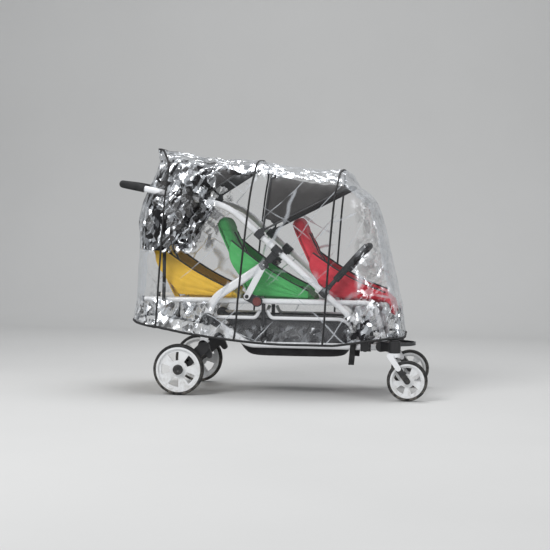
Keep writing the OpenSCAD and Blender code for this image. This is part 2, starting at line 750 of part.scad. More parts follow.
module hood(at, from, to, y, sag) {
  color(hood_black)
    sheet(hood_grid(at, from, to, y, sag, hood_inset + film_t), hood_grid(at, from, to, y, sag, hood_inset));
}
front_hood_sag = 10;
rear_hood_sag = 6;
curtain_gap = 1.4;
rear_curtain = [196, 300];
curtain_y = 192;
module front_hood() {
  hood(front_hood_at, polar(front_hood_front), polar(front_hood_back), [moving_y, fixed_y], front_hood_sag);
}
module rear_hood() {
  hood(rear_hood_at, polar(rear_hood_front), polar(rear_hood_back), [moving_y, fixed_y], rear_hood_sag);
  hood(rear_hood_at, polar(rear_hood_back + [curtain_gap, 0]), polar(rear_curtain), [fixed_y, curtain_y],
    -rear_hood_sag);
}

// Bumper bar across the front seat
bumper_slope = 48.6;
bumper_tube_d = 19;
bumper_r = 60;
bumper_skip = 44;
module bumper_tube() {
  color(black) difference() {
    union() {
      u_bar(bumper_tube_d, bumper_at, bumper_slope, push_y - 1, bumper_l - 28, bumper_r);
      both_sides() rod_y(bumper_at, 24, push_y - 9, push_y + 9);
    }
    both_sides() rod_y(bumper_at, clamp_pin_d + 2 * run_fit, 0, through);
  }
}
module bumper_foam() {
  color(black) difference() {
    u_bar(bumper_d, bumper_at, bumper_slope, push_y - 1, bumper_l - 28, bumper_r, bumper_skip);
    u_bar(bumper_tube_d + clear, bumper_at, bumper_slope, push_y - 1, bumper_l - 28, bumper_r, bumper_skip - 1);
  }
}

// Seats: cushion with a leg flap, board and padded back, and side wings
cushion_gap = 22;
cushion_low = seat_rail_z + cross_d / 2 + clear;
flap_r = 26;
flap_l = [6, 6, 62];
flap_turn = 76;
pad_edge = 0.42;
pad_rows = 14;
pad_across = 10;
channel_depth = 4;
flap_thin = 0.4;
seat_waist = 0.03;
function pad_swell(u, v) = pad_edge + (1 - pad_edge) * sqrt((1 - pow(u, 6)) * (1 - pow(v, 4)));
function flap_arc() = flap_r * flap_turn * PI / 180;
function cushion_path(s) = s < seat_l ? [s, 0, 0]
  : s < seat_l + flap_arc()
  ? let (a = (s - seat_l) / flap_r * 180 / PI) [seat_l + flap_r * sin(a), -flap_r * (1 - cos(a)), a]
  : let (a = flap_turn, d = s - seat_l - flap_arc())
    [seat_l + flap_r * sin(a) + d * cos(a), -flap_r * (1 - cos(a)) - d * sin(a), a];
function channel(u, v) = channel_depth * pow(cos(540 * u), 8) * (1 - pow(v, 4));
function cushion_point(i, u, v, up) =
  let (s = (u + 1) / 2 * (seat_l + flap_arc() + flap_l[i]), p = cushion_path(s))
  let (thin = s > seat_l ? flap_thin : 1)
  let (rise = up ? pad_t * pad_swell(u, v) * thin - channel(u, v) : 0)
  [seat_x[i] + cushion_gap + p[0] + rise * sin(p[2]), v * seat_w / 2 * (1 - seat_waist * (1 - u * u)),
   cushion_low + p[1] + rise * cos(p[2])];
function steps(n) = [for (i = [0:n]) 2 * i / n - 1];
module cushion(i, tint) {
  grid = function (up) [for (u = steps(pad_rows))
    [for (v = steps(pad_across)) cushion_point(i, u, v, up)]];
  color(tint) sheet(grid(true), grid(false));
}
back_from = 62;
back_taper = 0.2;
back_shoulder = 0.7;
back_crown = 0.42;
board_t = 5;
board_tail = 20;
function back_place(i, up, out) = [seat_x[i] - up * sin(back_lean) + out * cos(back_lean),
  seat_rail_z + up * cos(back_lean) + out * sin(back_lean)];
function back_round(u) = u > back_shoulder ? sqrt(1 - pow((u - back_shoulder) / back_crown, 2)) : 1;
function back_half(u) = (seat_w / 2 - 6) * (1 - back_taper * pow((u + 1) / 2, 2)) * back_round(u);
function back_point(i, u, v, up) =
  let (rise = up ? pad_t * pad_swell(u, v) - channel(u, v) : 0)
  let (p = back_place(i, back_from + (u + 1) / 2 * (back_l - 20), rise - pad_t / 2))
  [p[0], v * back_half(u), p[1]];
module back_pad(i, tint) {
  grid = function (up) [for (u = steps(pad_rows)) [for (v = steps(pad_across)) back_point(i, u, v, up)]];
  color(tint) sheet(grid(true), grid(false));
}
hinge_y = 120;
hinge_w = 24;
hinge_wall = 5;
strap_deep = 19;
module back_frame(i) { translate([seat_x[i], 0, seat_rail_z]) rotate([0, -back_lean, 0]) children(); }
function board_edge(s, us) = [for (u = us)
  [s * (back_half(u) - 4), back_from - board_tail + (u + 1) / 2 * (back_l - 4)]];
board_out = -pad_t / 2 - clear;
module hinge_strap() {
  rotate([90, 0, 0]) linear_extrude(hinge_w, center = true) difference() {
    union() {
      circle(d = cross_d + 2 * hinge_wall);
      translate([board_out - board_t - 3, -hinge_wall]) square([strap_deep, back_from - 1 + hinge_wall]);
    }
    circle(d = cross_d + 2 * run_fit);
  }
}
module back_board(i) {
  color(black) back_frame(i) {
    translate([board_out - board_t, 0, 0]) rotate([90, 0, 90]) linear_extrude(board_t)
      polygon(concat(board_edge(1, steps(8)), board_edge(-1, -steps(8))));
    for (s = [-1, 1]) translate([0, s * hinge_y, 0]) hinge_strap();
  }
}
wing_t = 3;
wing_up = 225;
module wings(i, tint) {
  top = back_place(i, wing_up, 6);
  foot = back_place(i, back_from + 8, 8);
  rear_x = seat_x[i] + cushion_gap + 4;
  front_x = seat_x[i] + cushion_gap + seat_l;
  low = cushion_low + 6;
  color(tint) both_sides() side_view(seat_w / 2 + clear) linear_extrude(wing_t)
    polygon([foot, [rear_x, low], [front_x, low], [front_x, cushion_low + pad_t - 4], top + [14, 6], top]);
}
buckle_x = 118;
module harness_buckles() {
  color(black) for (x = seat_x) translate([x + buckle_x, 0, cushion_low + pad_t + clear]) {
    rotate_extrude($fn = 48) polygon([[0, 0], [17, 0], [19, 4], [19, 9], [15, 13], [0, 14]]);
    translate([-10, -34, 1]) cube([20, 68, 8]);
  }
}

// Basket between the lower rails, hung from the rim tubes
basket_y = rail_y - rim_tube_d / 2 - clear;
rim_z = 349;
rim_rise_r = 24;
rim_rise = 62;
rim_tip = 24;
rim_bend_r = 70;
rim_drop = 70;
basket_sides = 28;
function rounded(t, p) = (t < 0 ? -1 : 1) * pow(abs(t), p);
// A closed loop, square with rounded corners, that rises evenly from its rear end to its front
function loop(n, x0, x1, y, z0, z1, p) = [for (k = [0:n - 1])
  let (a = 360 * (k + 0.5) / n, h = (1 + rounded(cos(a), p)) / 2)
  [x0 + h * (x1 - x0), y * rounded(sin(a), p), z0 + h * (z1 - z0)]];
basket_square = 0.45;
function basket_loop(x0, x1, y, z0, z1) = loop(basket_sides, x0, x1, y, z0, z1, basket_square);
function basket_stack(t) = [
  basket_loop(172 + t, 762 - t, basket_y - t, rim_z - 6, rim_z - 6),
  basket_loop(212 + t, 760 - t, basket_y - 5 - t, 292, 300),
  basket_loop(246 + t, 756 - t, basket_y - 6 - t, 236, 240),
  basket_loop(272 + t, 748 - t, basket_y - 8 - t, 198 + t, 200 + t),
  basket_loop(306 + t, 726 - t, basket_y - 26 - t, 176 + t, 178 + t)];
module basket() { color(basket_black) cup(basket_stack(0), basket_stack(film_t)); }
rim_rear_from = knuckle_x + 17;
rim_front_to = 706;
rim_tip_gap = post_d / 2 + clear + rim_tube_d / 2 * sin(rim_rise);
rim_turn_gap = rim_tip_gap + rim_tip * cos(rim_rise) + rim_rise_r * sin(rim_rise);
rim_tip_z = rim_z + rim_rise_r * (1 - cos(rim_rise)) + rim_tip * sin(rim_rise);
rim_gap = tube_r + clear + rim_bend_r * (1 - cos(rim_drop)) + rim_tube_d / 2 * cos(rim_drop);
rim_fall = rim_z - lower_rail_z - rim_gap;
rim_leg = rim_fall / sin(rim_drop);
module rear_rim_tube() {
  side_tube(rim_tube_d, [rim_rear_from, rim_z], 0, rail_y,
    [[post_x - rim_turn_gap - rim_rear_from], [rim_rise_r, rim_rise], [rim_tip]]);
}
module basket_rims() {
  color(grey) both_sides() {
    rear_rim_tube();
    side_tube(rim_tube_d, [post_x + rim_tip_gap, rim_tip_z], -rim_rise, rail_y,
      [[rim_tip], [rim_rise_r, rim_rise],
      [rim_front_to - post_x - rim_turn_gap], [rim_bend_r, -rim_drop], [rim_leg]]);
  }
}

// Rain cover: a film tent over the whole frame, open at the hem, with a slit for each arm of the push bar
cover_sides = 44;
hem_rear = -232;
hem_front = wheel_base - 18;
hem_low = 240;
hem_rear_rise = 88;
hem_front_rise = 33;
function hem_z(x) = hem_low + hem_rear_rise * pow(max(0, (480 - x) / 712), 1.6)
  + hem_front_rise * min(1, max(0, (x - 700) / 225));
function cover_loop(x0, x1, y, z0, z1, p) = loop(cover_sides, x0, x1, y, z0, z1, p);
function cover_hem(t) = [for (p = cover_loop(hem_rear + t, hem_front - t, cover_hem_y - t, 0, 0, 0.36))
  [p[0], p[1], hem_z(p[0])]];
function cover_stack(t) = [
  cover_hem(t),
  cover_loop(-222 + t, 984 - t, cover_hem_y - 10 - t, 450, 400, 0.36),
  cover_loop(-214 + t, 940 - t, cover_hem_y - 20 - t, 620, 600, 0.38),
  cover_loop(-218 + t, 906 - t, cover_hem_y - 28 - t, 780, 760, 0.4),
  cover_loop(-172 + t, 858 - t, cover_hem_y - 34 - t, 930, 880, 0.42),
  cover_loop(-128 + t, 785 - t, cover_hem_y - 52 - t, cover_top - 76 - t, 948 - t, 0.44),
  cover_loop(-142 + t, 752 - t, cover_hem_y - 122 - t, cover_top - 22 - t, 1002 - t, 0.5),
  cover_loop(-150 + t, 728 - t, 60 - t, cover_top - t, 1020 - t, 0.6)];
module rain_cover() {
  color(clear_film) difference() {
    cup(cover_stack(0), cover_stack(film_t));
    both_sides() side_tube(tube_d + 2 * clear, push_corner + push_tangent * grip_dir, 180 - grip_angle, push_y,
      [[grip_run]]);
  }
}

place() lower_rails();
place() seat_rails();
place() rail_fittings();
place() cross_tubes();
place() knuckle_eyes();
place() pivot_brackets();
place() castor_brackets();
place() footrest();
place() basket();
place() basket_rims();
place() cushion(0, seat_tints[0]);  // rear_cushion
place() cushion(1, seat_tints[1]);  // middle_cushion
place() cushion(2, seat_tints[2]);  // front_cushion
place() harness_buckles();
place() rain_cover();
place() push_arms();
place() handle_bar();
place() handle_grip();
place() leg_brackets();
place() hood_clamps();
place() bumper_clamps();
place() front_hood();
place() rear_hood();
place() hood_back_bows();
place() front_hood_bow();
place() rear_hood_bow();
place() bumper_tube();
place() bumper_foam();
place() rear_leg_tubes();
place() leg_collars();
place() leg_caps();
place() lock_struts();
place() latch_plates();
place() wheel_brackets();
place() rear_axle();
place() brake_bar();
place() release_button(-1);  // release_button_right
place() release_button(1);  // release_button_left
place() rear_rim(-1);  // rear_rim_right
place() rear_tyre(-1);  // rear_tyre_right
place() rear_rim(1);  // rear_rim_left
place() rear_tyre(1);  // rear_tyre_left
place() castor_fork(-1);  // castor_fork_right
place() fork_feet(-1);  // fork_feet_right
place() front_rim(-1);  // front_rim_right
place() front_tyre(-1);  // front_tyre_right
place() castor_fork(1);  // castor_fork_left
place() fork_feet(1);  // fork_feet_left
place() front_rim(1);  // front_rim_left
place() front_tyre(1);  // front_tyre_left
place() back_pad(0, seat_tints[0]);  // rear_back_pad
place() back_board(0);  // rear_back_board
place() wings(0, seat_tints[0]);  // rear_wings
place() back_pad(1, seat_tints[1]);  // middle_back_pad
place() back_board(1);  // middle_back_board
place() wings(1, seat_tints[1]);  // middle_wings
place() back_pad(2, seat_tints[2]);  // front_back_pad
place() back_board(2);  // front_back_board
place() wings(2, seat_tints[2]);  // front_wings
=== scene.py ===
# %% [markdown]
# # A three-seat stroller under its clear rain cover
#
# The stroller is a folding frame of white tubes with three padded seats in a row, two dark hoods,
# a net basket and a clear film cover drawn over everything. The tubes, joints and wheels come
# ready-made as a CAD frame. This lesson gives them their finishes, and makes what CAD does badly:
# cloth, padding, webbing, netting and crinkled film.

# %% Load the frame
import json
import math

import bpy
import numpy as np
from mathutils import Matrix, Vector, noise
from mathutils.bvhtree import BVHTree


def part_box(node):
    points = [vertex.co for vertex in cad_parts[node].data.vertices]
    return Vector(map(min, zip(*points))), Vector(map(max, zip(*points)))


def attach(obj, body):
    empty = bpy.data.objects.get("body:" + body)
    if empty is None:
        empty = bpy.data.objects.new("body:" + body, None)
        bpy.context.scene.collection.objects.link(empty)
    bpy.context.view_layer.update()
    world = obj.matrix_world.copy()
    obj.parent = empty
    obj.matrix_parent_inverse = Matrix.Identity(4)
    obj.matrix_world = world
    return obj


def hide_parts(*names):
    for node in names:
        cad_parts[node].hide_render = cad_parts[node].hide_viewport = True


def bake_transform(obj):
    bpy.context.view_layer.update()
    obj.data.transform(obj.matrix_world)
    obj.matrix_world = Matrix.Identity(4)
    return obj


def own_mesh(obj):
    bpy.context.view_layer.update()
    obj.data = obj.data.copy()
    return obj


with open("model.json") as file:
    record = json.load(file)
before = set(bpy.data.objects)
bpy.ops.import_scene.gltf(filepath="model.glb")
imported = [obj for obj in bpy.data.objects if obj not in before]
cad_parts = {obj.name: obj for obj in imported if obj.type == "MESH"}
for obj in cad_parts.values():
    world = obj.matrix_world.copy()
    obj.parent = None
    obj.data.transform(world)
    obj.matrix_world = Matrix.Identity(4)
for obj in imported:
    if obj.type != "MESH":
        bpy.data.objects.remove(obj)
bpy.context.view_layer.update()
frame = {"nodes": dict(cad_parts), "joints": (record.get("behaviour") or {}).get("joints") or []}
nodes = frame["nodes"]
scene = bpy.context.scene
joint_at = {j["name"]: Vector(j["pos_m"]) for j in frame["joints"] if "pos_m" in j}

# %% [markdown]
# ## Places
#
# Every size below is a real one in millimetres, measured along the stroller from its rear axle.
# The frame's origin is under the stroller's middle, so one short function turns a maker's
# measurement into a point of the frame.

# %% Places
MM = 0.001
AXLE_X = joint_at["rear_spin_right"].x
SIDES = (-1, 1)
SIDE_NAMES = {-1: "right", 1: "left"}
SEAT_NAMES = ("rear", "middle", "front")


def at(x, y, z):
    """A point of the frame from millimetres: x from the rear axle, y to the left, z from the ground."""
    return Vector((AXLE_X + x * MM, y * MM, z * MM))


def lerp(a, b, t):
    return a + (b - a) * t


print(f"the rear axle is {-AXLE_X / MM:.1f} mm behind the middle")

# %% [markdown]
# ## Camera, floor and light
#
# The camera stands where the photograph was taken from: almost square to the stroller's right side,
# six and a half metres away and at seat height, with a long lens. A sweep of pale paper stands for
# the studio, and three soft lamps light the stroller at a plain level.

# %% Camera
PHOTO_SIDE_PX = 550
FOCAL_PX = 1396.3
SENSOR_MM = 36
CAMERA_AT = at(1165, -6413, 798)
CAMERA_YAW = math.radians(6.82)
CAMERA_PITCH = math.radians(-2.33)
CAMERA_ROLL = math.radians(0.76)


def camera_turn(yaw, pitch, roll):
    """The camera's axes from its yaw, pitch and roll."""
    right = Vector((math.cos(yaw), math.sin(yaw), 0))
    level = Vector((-math.sin(yaw), math.cos(yaw), 0))
    up = Vector((0, 0, 1))
    ahead = level * math.cos(pitch) + up * math.sin(pitch)
    up = up * math.cos(pitch) - level * math.sin(pitch)
    right, up = right * math.cos(roll) + up * math.sin(roll), up * math.cos(roll) - right * math.sin(roll)
    return Matrix((right, up, -ahead)).transposed()


camera = bpy.data.objects.new("camera", bpy.data.cameras.new("camera"))
camera.data.sensor_width = SENSOR_MM
camera.data.lens = SENSOR_MM * FOCAL_PX / PHOTO_SIDE_PX
camera.matrix_world = camera_turn(CAMERA_YAW, CAMERA_PITCH, CAMERA_ROLL).to_4x4()
camera.location = CAMERA_AT
scene.collection.objects.link(camera)
scene.camera = camera
scene.view_settings.view_transform = "Standard"
print(f"lens {camera.data.lens:.1f} mm")

# %% [markdown]
# A mesh in Blender is a list of points and a list of faces. One helper makes a mesh object from the two
# lists, and one finds the faces of a grid of points, which is how most cloth here is made.

# %% Mesh helpers


def add_mesh(name, points, faces, material=None, edges=()):
    """A smooth mesh object in the scene."""
    mesh = bpy.data.meshes.new(name)
    mesh.from_pydata([tuple(p) for p in points], list(edges), faces)
    mesh.shade_smooth()
    if material:
        mesh.materials.append(material)
    piece = bpy.data.objects.new(name, mesh)
    scene.collection.objects.link(piece)
    return piece


def grid_faces(rows, columns, closed=False):
    """The four-sided faces of rows of points; a closed grid's last column joins its first."""
    wide = columns if closed else columns - 1
    return [(r * columns + c, r * columns + (c + 1) % columns, (r + 1) * columns + (c + 1) % columns,
             (r + 1) * columns + c) for r in range(rows - 1) for c in range(wide)]


# %% [markdown]
# ## Shader groups
#
# Real surfaces are never one flat value. Each effect that several finishes share is a node group,
# built once: a slow drift of tone, road dust near the ground, the pebbled grain of moulded plastic,
# a plain weave and the crinkle of film. A finish places the groups it needs with its own values.

# %% Node helpers


def add_node(tree, kind, inputs=None, **settings):
    """A node with its settings, whose inputs take either a value or another node's output."""
    node = tree.nodes.new(kind)
    for key, value in settings.items():
        setattr(node, key, value)
    for key, value in (inputs or {}).items():
        if isinstance(value, bpy.types.NodeSocket):
            tree.links.new(value, node.inputs[key])
        else:
            node.inputs[key].default_value = value
    return node


def math_node(tree, operation, a, b=0.0):
    return add_node(tree, "ShaderNodeMath", {0: a, 1: b}, operation=operation).outputs[0]


def vector_node(tree, operation, inputs):
    return add_node(tree, "ShaderNodeVectorMath", inputs, operation=operation).outputs[0]


def map_node(tree, value, low, high, to_low=0.0, to_high=1.0):
    sizes = {"Value": value, "From Min": low, "From Max": high, "To Min": to_low, "To Max": to_high}
    return add_node(tree, "ShaderNodeMapRange", sizes, clamp=True).outputs["Result"]


def mix_colors(tree, factor, a, b):
    """A colour between a and b. The mix node's colour sockets are its seventh and eighth."""
    return add_node(tree, "ShaderNodeMix", {0: factor, 6: a, 7: b}, data_type="RGBA").outputs[2]


SOCKETS = {"color": "NodeSocketColor", "value": "NodeSocketFloat"}


def shader_group(name, inputs, outputs):
    """An empty shader group with named inputs and outputs, and its two end nodes."""
    tree = bpy.data.node_groups.new(name, "ShaderNodeTree")
    for label, (kind, default) in inputs.items():
        tree.interface.new_socket(label, in_out="INPUT", socket_type=SOCKETS[kind]).default_value = default
    for label, kind in outputs.items():
        tree.interface.new_socket(label, in_out="OUTPUT", socket_type=SOCKETS[kind])
    return tree, tree.nodes.new("NodeGroupInput"), tree.nodes.new("NodeGroupOutput")


def object_place(tree):
    return add_node(tree, "ShaderNodeTexCoord").outputs["Object"]


# %% [markdown]
# Two effects are on almost every surface. Paint and cloth are a little darker here and there, which a
# soft noise gives, and dust from the road thins out with height, so it reads the height over the ground.

# %% Tone drift and road dust
DUST_COLOR = (0.33, 0.30, 0.26, 1)


def make_drift_group():
    tree, given, out = shader_group("tone_drift", {
        "Color": ("color", (1, 1, 1, 1)), "Roughness": ("value", 0.5), "Spread": ("value", 0.1),
        "Scale": ("value", 6.0)}, {"Color": "color", "Roughness": "value"})
    drift = add_node(tree, "ShaderNodeTexNoise", {
        "Vector": object_place(tree), "Scale": given.outputs["Scale"], "Detail": 5.0})
    fade = map_node(tree, drift.outputs["Fac"], 0.32, 0.68)
    amount = math_node(tree, "MULTIPLY", fade, given.outputs["Spread"])
    tree.links.new(mix_colors(tree, amount, given.outputs["Color"], (0.0, 0.0, 0.0, 1)), out.inputs["Color"])
    swing = math_node(tree, "SUBTRACT", amount, math_node(tree, "MULTIPLY", given.outputs["Spread"], 0.5))
    tree.links.new(math_node(tree, "ADD", given.outputs["Roughness"], swing), out.inputs["Roughness"])
    return tree


def make_dust_group():
    tree, given, out = shader_group("road_dust", {
        "Color": ("color", (1, 1, 1, 1)), "Amount": ("value", 0.3), "Height": ("value", 0.2)},
        {"Color": "color"})
    place = object_place(tree)
    height = add_node(tree, "ShaderNodeSeparateXYZ", {0: place}).outputs["Z"]
    low = math_node(tree, "SUBTRACT", 1.0, math_node(tree, "DIVIDE", height, given.outputs["Height"]))
    low = map_node(tree, low, 0.0, 1.0)
    specks = add_node(tree, "ShaderNodeTexNoise", {"Vector": place, "Scale": 60.0, "Detail": 6.0})
    specks = map_node(tree, specks.outputs["Fac"], 0.42, 0.7)
    amount = math_node(tree, "MULTIPLY", math_node(tree, "MULTIPLY", low, specks), given.outputs["Amount"])
    tree.links.new(mix_colors(tree, amount, given.outputs["Color"], DUST_COLOR), out.inputs["Color"])
    return tree


drift_group = make_drift_group()
dust_group = make_dust_group()
print("made", drift_group.name, "and", dust_group.name)

# %% [markdown]
# Grain and weave are heights for a Bump node. Moulded plastic has a fine pebble, which Voronoi cells and
# a noise give together. Woven threads go over and under each other, as the product of two waves does.

# %% Grain and weave


def make_grain_group():
    tree, given, out = shader_group("moulded_grain", {"Scale": ("value", 400.0)}, {"Height": "value"})
    place = object_place(tree)
    cells = add_node(tree, "ShaderNodeTexVoronoi", {"Vector": place, "Scale": given.outputs["Scale"]})
    fine = math_node(tree, "MULTIPLY", given.outputs["Scale"], 2.3)
    rough = add_node(tree, "ShaderNodeTexNoise", {"Vector": place, "Scale": fine, "Detail": 3.0})
    both = math_node(tree, "ADD", cells.outputs["Distance"], rough.outputs["Fac"])
    tree.links.new(both, out.inputs["Height"])
    return tree


def make_weave_group():
    """Threads over and under: two sets of waves, slanted so that they show on upright cloth too."""
    tree, given, out = shader_group("plain_weave", {"Pitch": ("value", 0.0016)}, {"Height": "value"})
    place = add_node(tree, "ShaderNodeSeparateXYZ", {0: object_place(tree)})
    turn = math_node(tree, "DIVIDE", 2 * math.pi, given.outputs["Pitch"])
    lean = math_node(tree, "MULTIPLY", place.outputs["Z"], 0.8)
    along = math_node(tree, "ADD", place.outputs["X"], lean)
    across = math_node(tree, "SUBTRACT", place.outputs["Y"], lean)
    warp = math_node(tree, "SINE", math_node(tree, "MULTIPLY", along, turn))
    weft = math_node(tree, "SINE", math_node(tree, "MULTIPLY", across, turn))
    height = map_node(tree, math_node(tree, "MULTIPLY", warp, weft), -1.0, 1.0)
    tree.links.new(height, out.inputs["Height"])
    return tree


grain_group = make_grain_group()
weave_group = make_weave_group()
print("made", grain_group.name, "and", weave_group.name)

# %% [markdown]
# Crumpled film isn't bumpy: it breaks into flat shards with sharp creases between them. Cells of a Voronoi
# texture, bent by a noise and drawn out, look like that, so these groups put out tilts and masks, and a
# pale or dark tone for each shard, which is a painted reflection.

# %% Shards and streaks
LARGE_SHARDS = (1.0, 0.75, (1.0, 1.0, 0.22))
SMALL_SHARDS = (2.1, -0.6, (1.0, 1.0, 0.3))
STREAK_SETS = ((0.85, 5.0), (-0.55, 4.0))
STREAK_STRETCH = (0.16, 1.0, 1.0)


def bent_place(tree, scale, amount):
    """The object's own place, pushed about by a noise, so that cells don't come out straight."""
    place = object_place(tree)
    bend = add_node(tree, "ShaderNodeTexNoise", {"Vector": place, "Scale": scale, "Detail": 3.0})
    push = vector_node(tree, "SCALE", {0: bend.outputs["Color"], "Scale": amount})
    return vector_node(tree, "ADD", {0: place, 1: push})


def drawn_out(tree, place, spin, stretch):
    """A place turned about the stroller's width and then stretched, for long and slanted cells."""
    turned = add_node(tree, "ShaderNodeMapping", {"Vector": place, "Rotation": (0, spin, 0)})
    return add_node(tree, "ShaderNodeMapping", {"Vector": turned.outputs[0], "Scale": stretch}).outputs[0]


def cell_edges(tree, place, scale):
    return add_node(tree, "ShaderNodeTexVoronoi", {"Vector": place, "Scale": scale},
                    feature="DISTANCE_TO_EDGE").outputs["Distance"]


def channel(tree, color, name):
    return add_node(tree, "ShaderNodeSeparateColor", {0: color}).outputs[name]


def make_shard_group():
    """Crumpled film: flat shards in two sizes, each with a tilt, a strength and a pale or dark tone, a
    painted reflection.
    """
    tree, given, out = shader_group("film_shards", {"Scale": ("value", 32.0)}, {
        "Tilt": "color", "Strength": "value", "Crease": "value", "Reflection Tone": "value"})
    bent = bent_place(tree, 10.0, 0.08)
    tilts = []
    creases = []
    for share, spin, stretch in (LARGE_SHARDS, SMALL_SHARDS):
        place = drawn_out(tree, bent, spin, stretch)
        scale = math_node(tree, "MULTIPLY", given.outputs["Scale"], share)
        cells = add_node(tree, "ShaderNodeTexVoronoi", {"Vector": place, "Scale": scale})
        tilts.append(cells.outputs["Color"])
        creases.append(map_node(tree, cell_edges(tree, place, scale), 0.015, 0.05, 1.0, 0.0))
    tree.links.new(mix_colors(tree, 0.5, *tilts), out.inputs["Tilt"])
    lot = math_node(tree, "ADD", *[channel(tree, tilt, "Blue") for tilt in tilts])
    tree.links.new(map_node(tree, math_node(tree, "MULTIPLY", lot, 0.5), 0.3, 0.65), out.inputs["Strength"])
    tree.links.new(math_node(tree, "MAXIMUM", *creases), out.inputs["Crease"])
    large, small = (channel(tree, tilt, "Red") for tilt in tilts)
    tone = math_node(tree, "ADD", math_node(tree, "MULTIPLY", large, 0.4),
                     math_node(tree, "MULTIPLY", small, 0.6))
    tree.links.new(map_node(tree, tone, 0.36, 0.62), out.inputs["Reflection Tone"])
    return tree


def make_streak_group():
    """Long thin slanted lines, painted highlights where film is drawn tight between two points."""
    tree, _, out = shader_group("film_highlight_streaks", {}, {"Streak": "value"})
    place = object_place(tree)
    bent = bent_place(tree, 2.5, 0.1)
    lines = []
    for spin, scale in STREAK_SETS:
        edges = cell_edges(tree, drawn_out(tree, bent, spin, STREAK_STRETCH), scale)
        lines.append(map_node(tree, edges, 0.004, 0.016, 1.0, 0.0))
    both = math_node(tree, "MAXIMUM", *lines)
    fade = add_node(tree, "ShaderNodeTexNoise", {"Vector": place, "Scale": 6.0, "Detail": 3.0})
    fade = map_node(tree, fade.outputs["Fac"], 0.44, 0.56)
    tree.links.new(math_node(tree, "MULTIPLY", both, fade), out.inputs["Streak"])
    return tree


shard_group = make_shard_group()
highlight_streak_group = make_streak_group()
print("shader groups:", ", ".join(g.name for g in bpy.data.node_groups))

# %% [markdown]
# ## Finishes
#
# One function builds a finish from the groups: a colour that drifts, dust near the ground and a bump.
# Values that are the same all over a surface sit on the shader's own sockets.

# %% The finish function


def place_group(tree, group, inputs=None):
    return add_node(tree, "ShaderNodeGroup", inputs, node_tree=group)


def finish(name, color, roughness, spread=0.1, drift=6.0, dust=0.0, bump=None, **sockets):
    """A procedural material. bump is (group, its inputs, depth in metres, strength)."""
    material = bpy.data.materials.new(name)
    material.use_nodes = True
    tree = material.node_tree
    shader = tree.nodes["Principled BSDF"]
    tone = place_group(tree, drift_group, {
        "Color": (*color, 1), "Roughness": roughness, "Spread": spread, "Scale": drift})
    shown = tone.outputs["Color"]
    if dust:
        shown = place_group(tree, dust_group, {"Color": shown, "Amount": dust}).outputs["Color"]
    tree.links.new(shown, shader.inputs["Base Color"])
    tree.links.new(tone.outputs["Roughness"], shader.inputs["Roughness"])
    if bump:
        group, sizes, depth, strength = bump
        relief = place_group(tree, group, sizes)
        height = add_node(tree, "ShaderNodeBump", {
            "Height": relief.outputs["Height"], "Distance": depth, "Strength": strength})
        tree.links.new(height.outputs["Normal"], shader.inputs["Normal"])
    for label, value in sockets.items():
        shader.inputs[label.replace("_", " ")].default_value = value
    return material


# %% [markdown]
# ## Hard pieces
#
# Powder-coated tubes, moulded plastic, rubber and foam differ in colour, gloss and grain. Each CAD node
# is one moulding or one set of tubes, so it takes one finish, from a table of finishes and nodes.

# %% Hard finishes


def peel(scale, depth):
    """A fine moulded grain for a finish's bump."""
    return (grain_group, {"Scale": scale}, depth, 0.25)


white_paint = finish("white_paint", (0.82, 0.83, 0.85), 0.22, 0.06, 9, 0.5, peel(260, 0.0002),
                     Coat_Weight=0.4, Coat_Roughness=0.08)
white_moulding = finish("white_moulding", (0.80, 0.81, 0.82), 0.38, 0.06, 12, 0.55, peel(700, 0.0002))
black_moulding = finish("black_moulding", (0.022, 0.022, 0.024), 0.42, 0.25, 14, 0.25, peel(900, 0.0003))
grey_moulding = finish("grey_moulding", (0.05, 0.052, 0.055), 0.42, 0.2, 14, 0.25, peel(900, 0.0003))
grey_tube = finish("grey_tube", (0.50, 0.51, 0.53), 0.3, 0.1, 9, 0.3, peel(300, 0.0002), Coat_Weight=0.2)
steel = finish("zinc_steel", (0.62, 0.63, 0.65), 0.3, 0.15, 30, 0.1, peel(900, 0.0001), Metallic=1.0)
tyre_rubber = finish("tyre_rubber", (0.016, 0.016, 0.017), 0.72, 0.3, 20, 0.55, peel(500, 0.0006))
grip_foam = finish("grip_foam", (0.018, 0.018, 0.019), 0.85, 0.3, 25, 0.0, peel(1100, 0.0009))
red_moulding = finish("red_moulding", (0.17, 0.03, 0.025), 0.3, 0.15, 12, 0.0, peel(900, 0.0002),
                      Coat_Weight=0.3)

CAD_FINISH = {
    white_paint: ["lower_rails", "seat_rails", "push_arms", "handle_bar", "rear_leg_tubes", "lock_struts",
                  "castor_fork_right", "castor_fork_left", "basket_rims"],
    white_moulding: ["rear_rim_right", "rear_rim_left", "front_rim_right", "front_rim_left"],
    grey_tube: ["cross_tubes"],
    grey_moulding: ["leg_collars", "footrest"],
    steel: ["rear_axle"],
    tyre_rubber: ["rear_tyre_right", "rear_tyre_left", "front_tyre_right", "front_tyre_left"],
    grip_foam: ["handle_grip", "bumper_foam"],
    red_moulding: ["release_button_right", "release_button_left"],
    black_moulding: ["rail_fittings", "knuckle_eyes", "pivot_brackets", "castor_brackets", "bumper_tube",
                     "harness_buckles", "leg_brackets", "hood_clamps", "bumper_clamps", "hood_back_bows",
                     "front_hood_bow", "rear_hood_bow", "leg_caps", "latch_plates", "wheel_brackets",
                     "brake_bar", "fork_feet_right", "fork_feet_left"],
}


def paint(node, material):
    nodes[node].data.materials.clear()
    nodes[node].data.materials.append(material)


for material, names in CAD_FINISH.items():
    for name in names:
        paint(name, material)
print(f"finished {sum(len(v) for v in CAD_FINISH.values())} CAD nodes")

# %% [markdown]
# ## Cloth and webbing
#
# Cloth is matt, with a sheen at its edges and a weave that shows close up. The three seats share one
# cloth in three colours. The boards in the seats' backs are sewn into that cloth, so they show it too.

# %% Soft finishes


def weave(pitch, depth=0.0006, strength=0.5):
    return (weave_group, {"Pitch": pitch}, depth, strength)


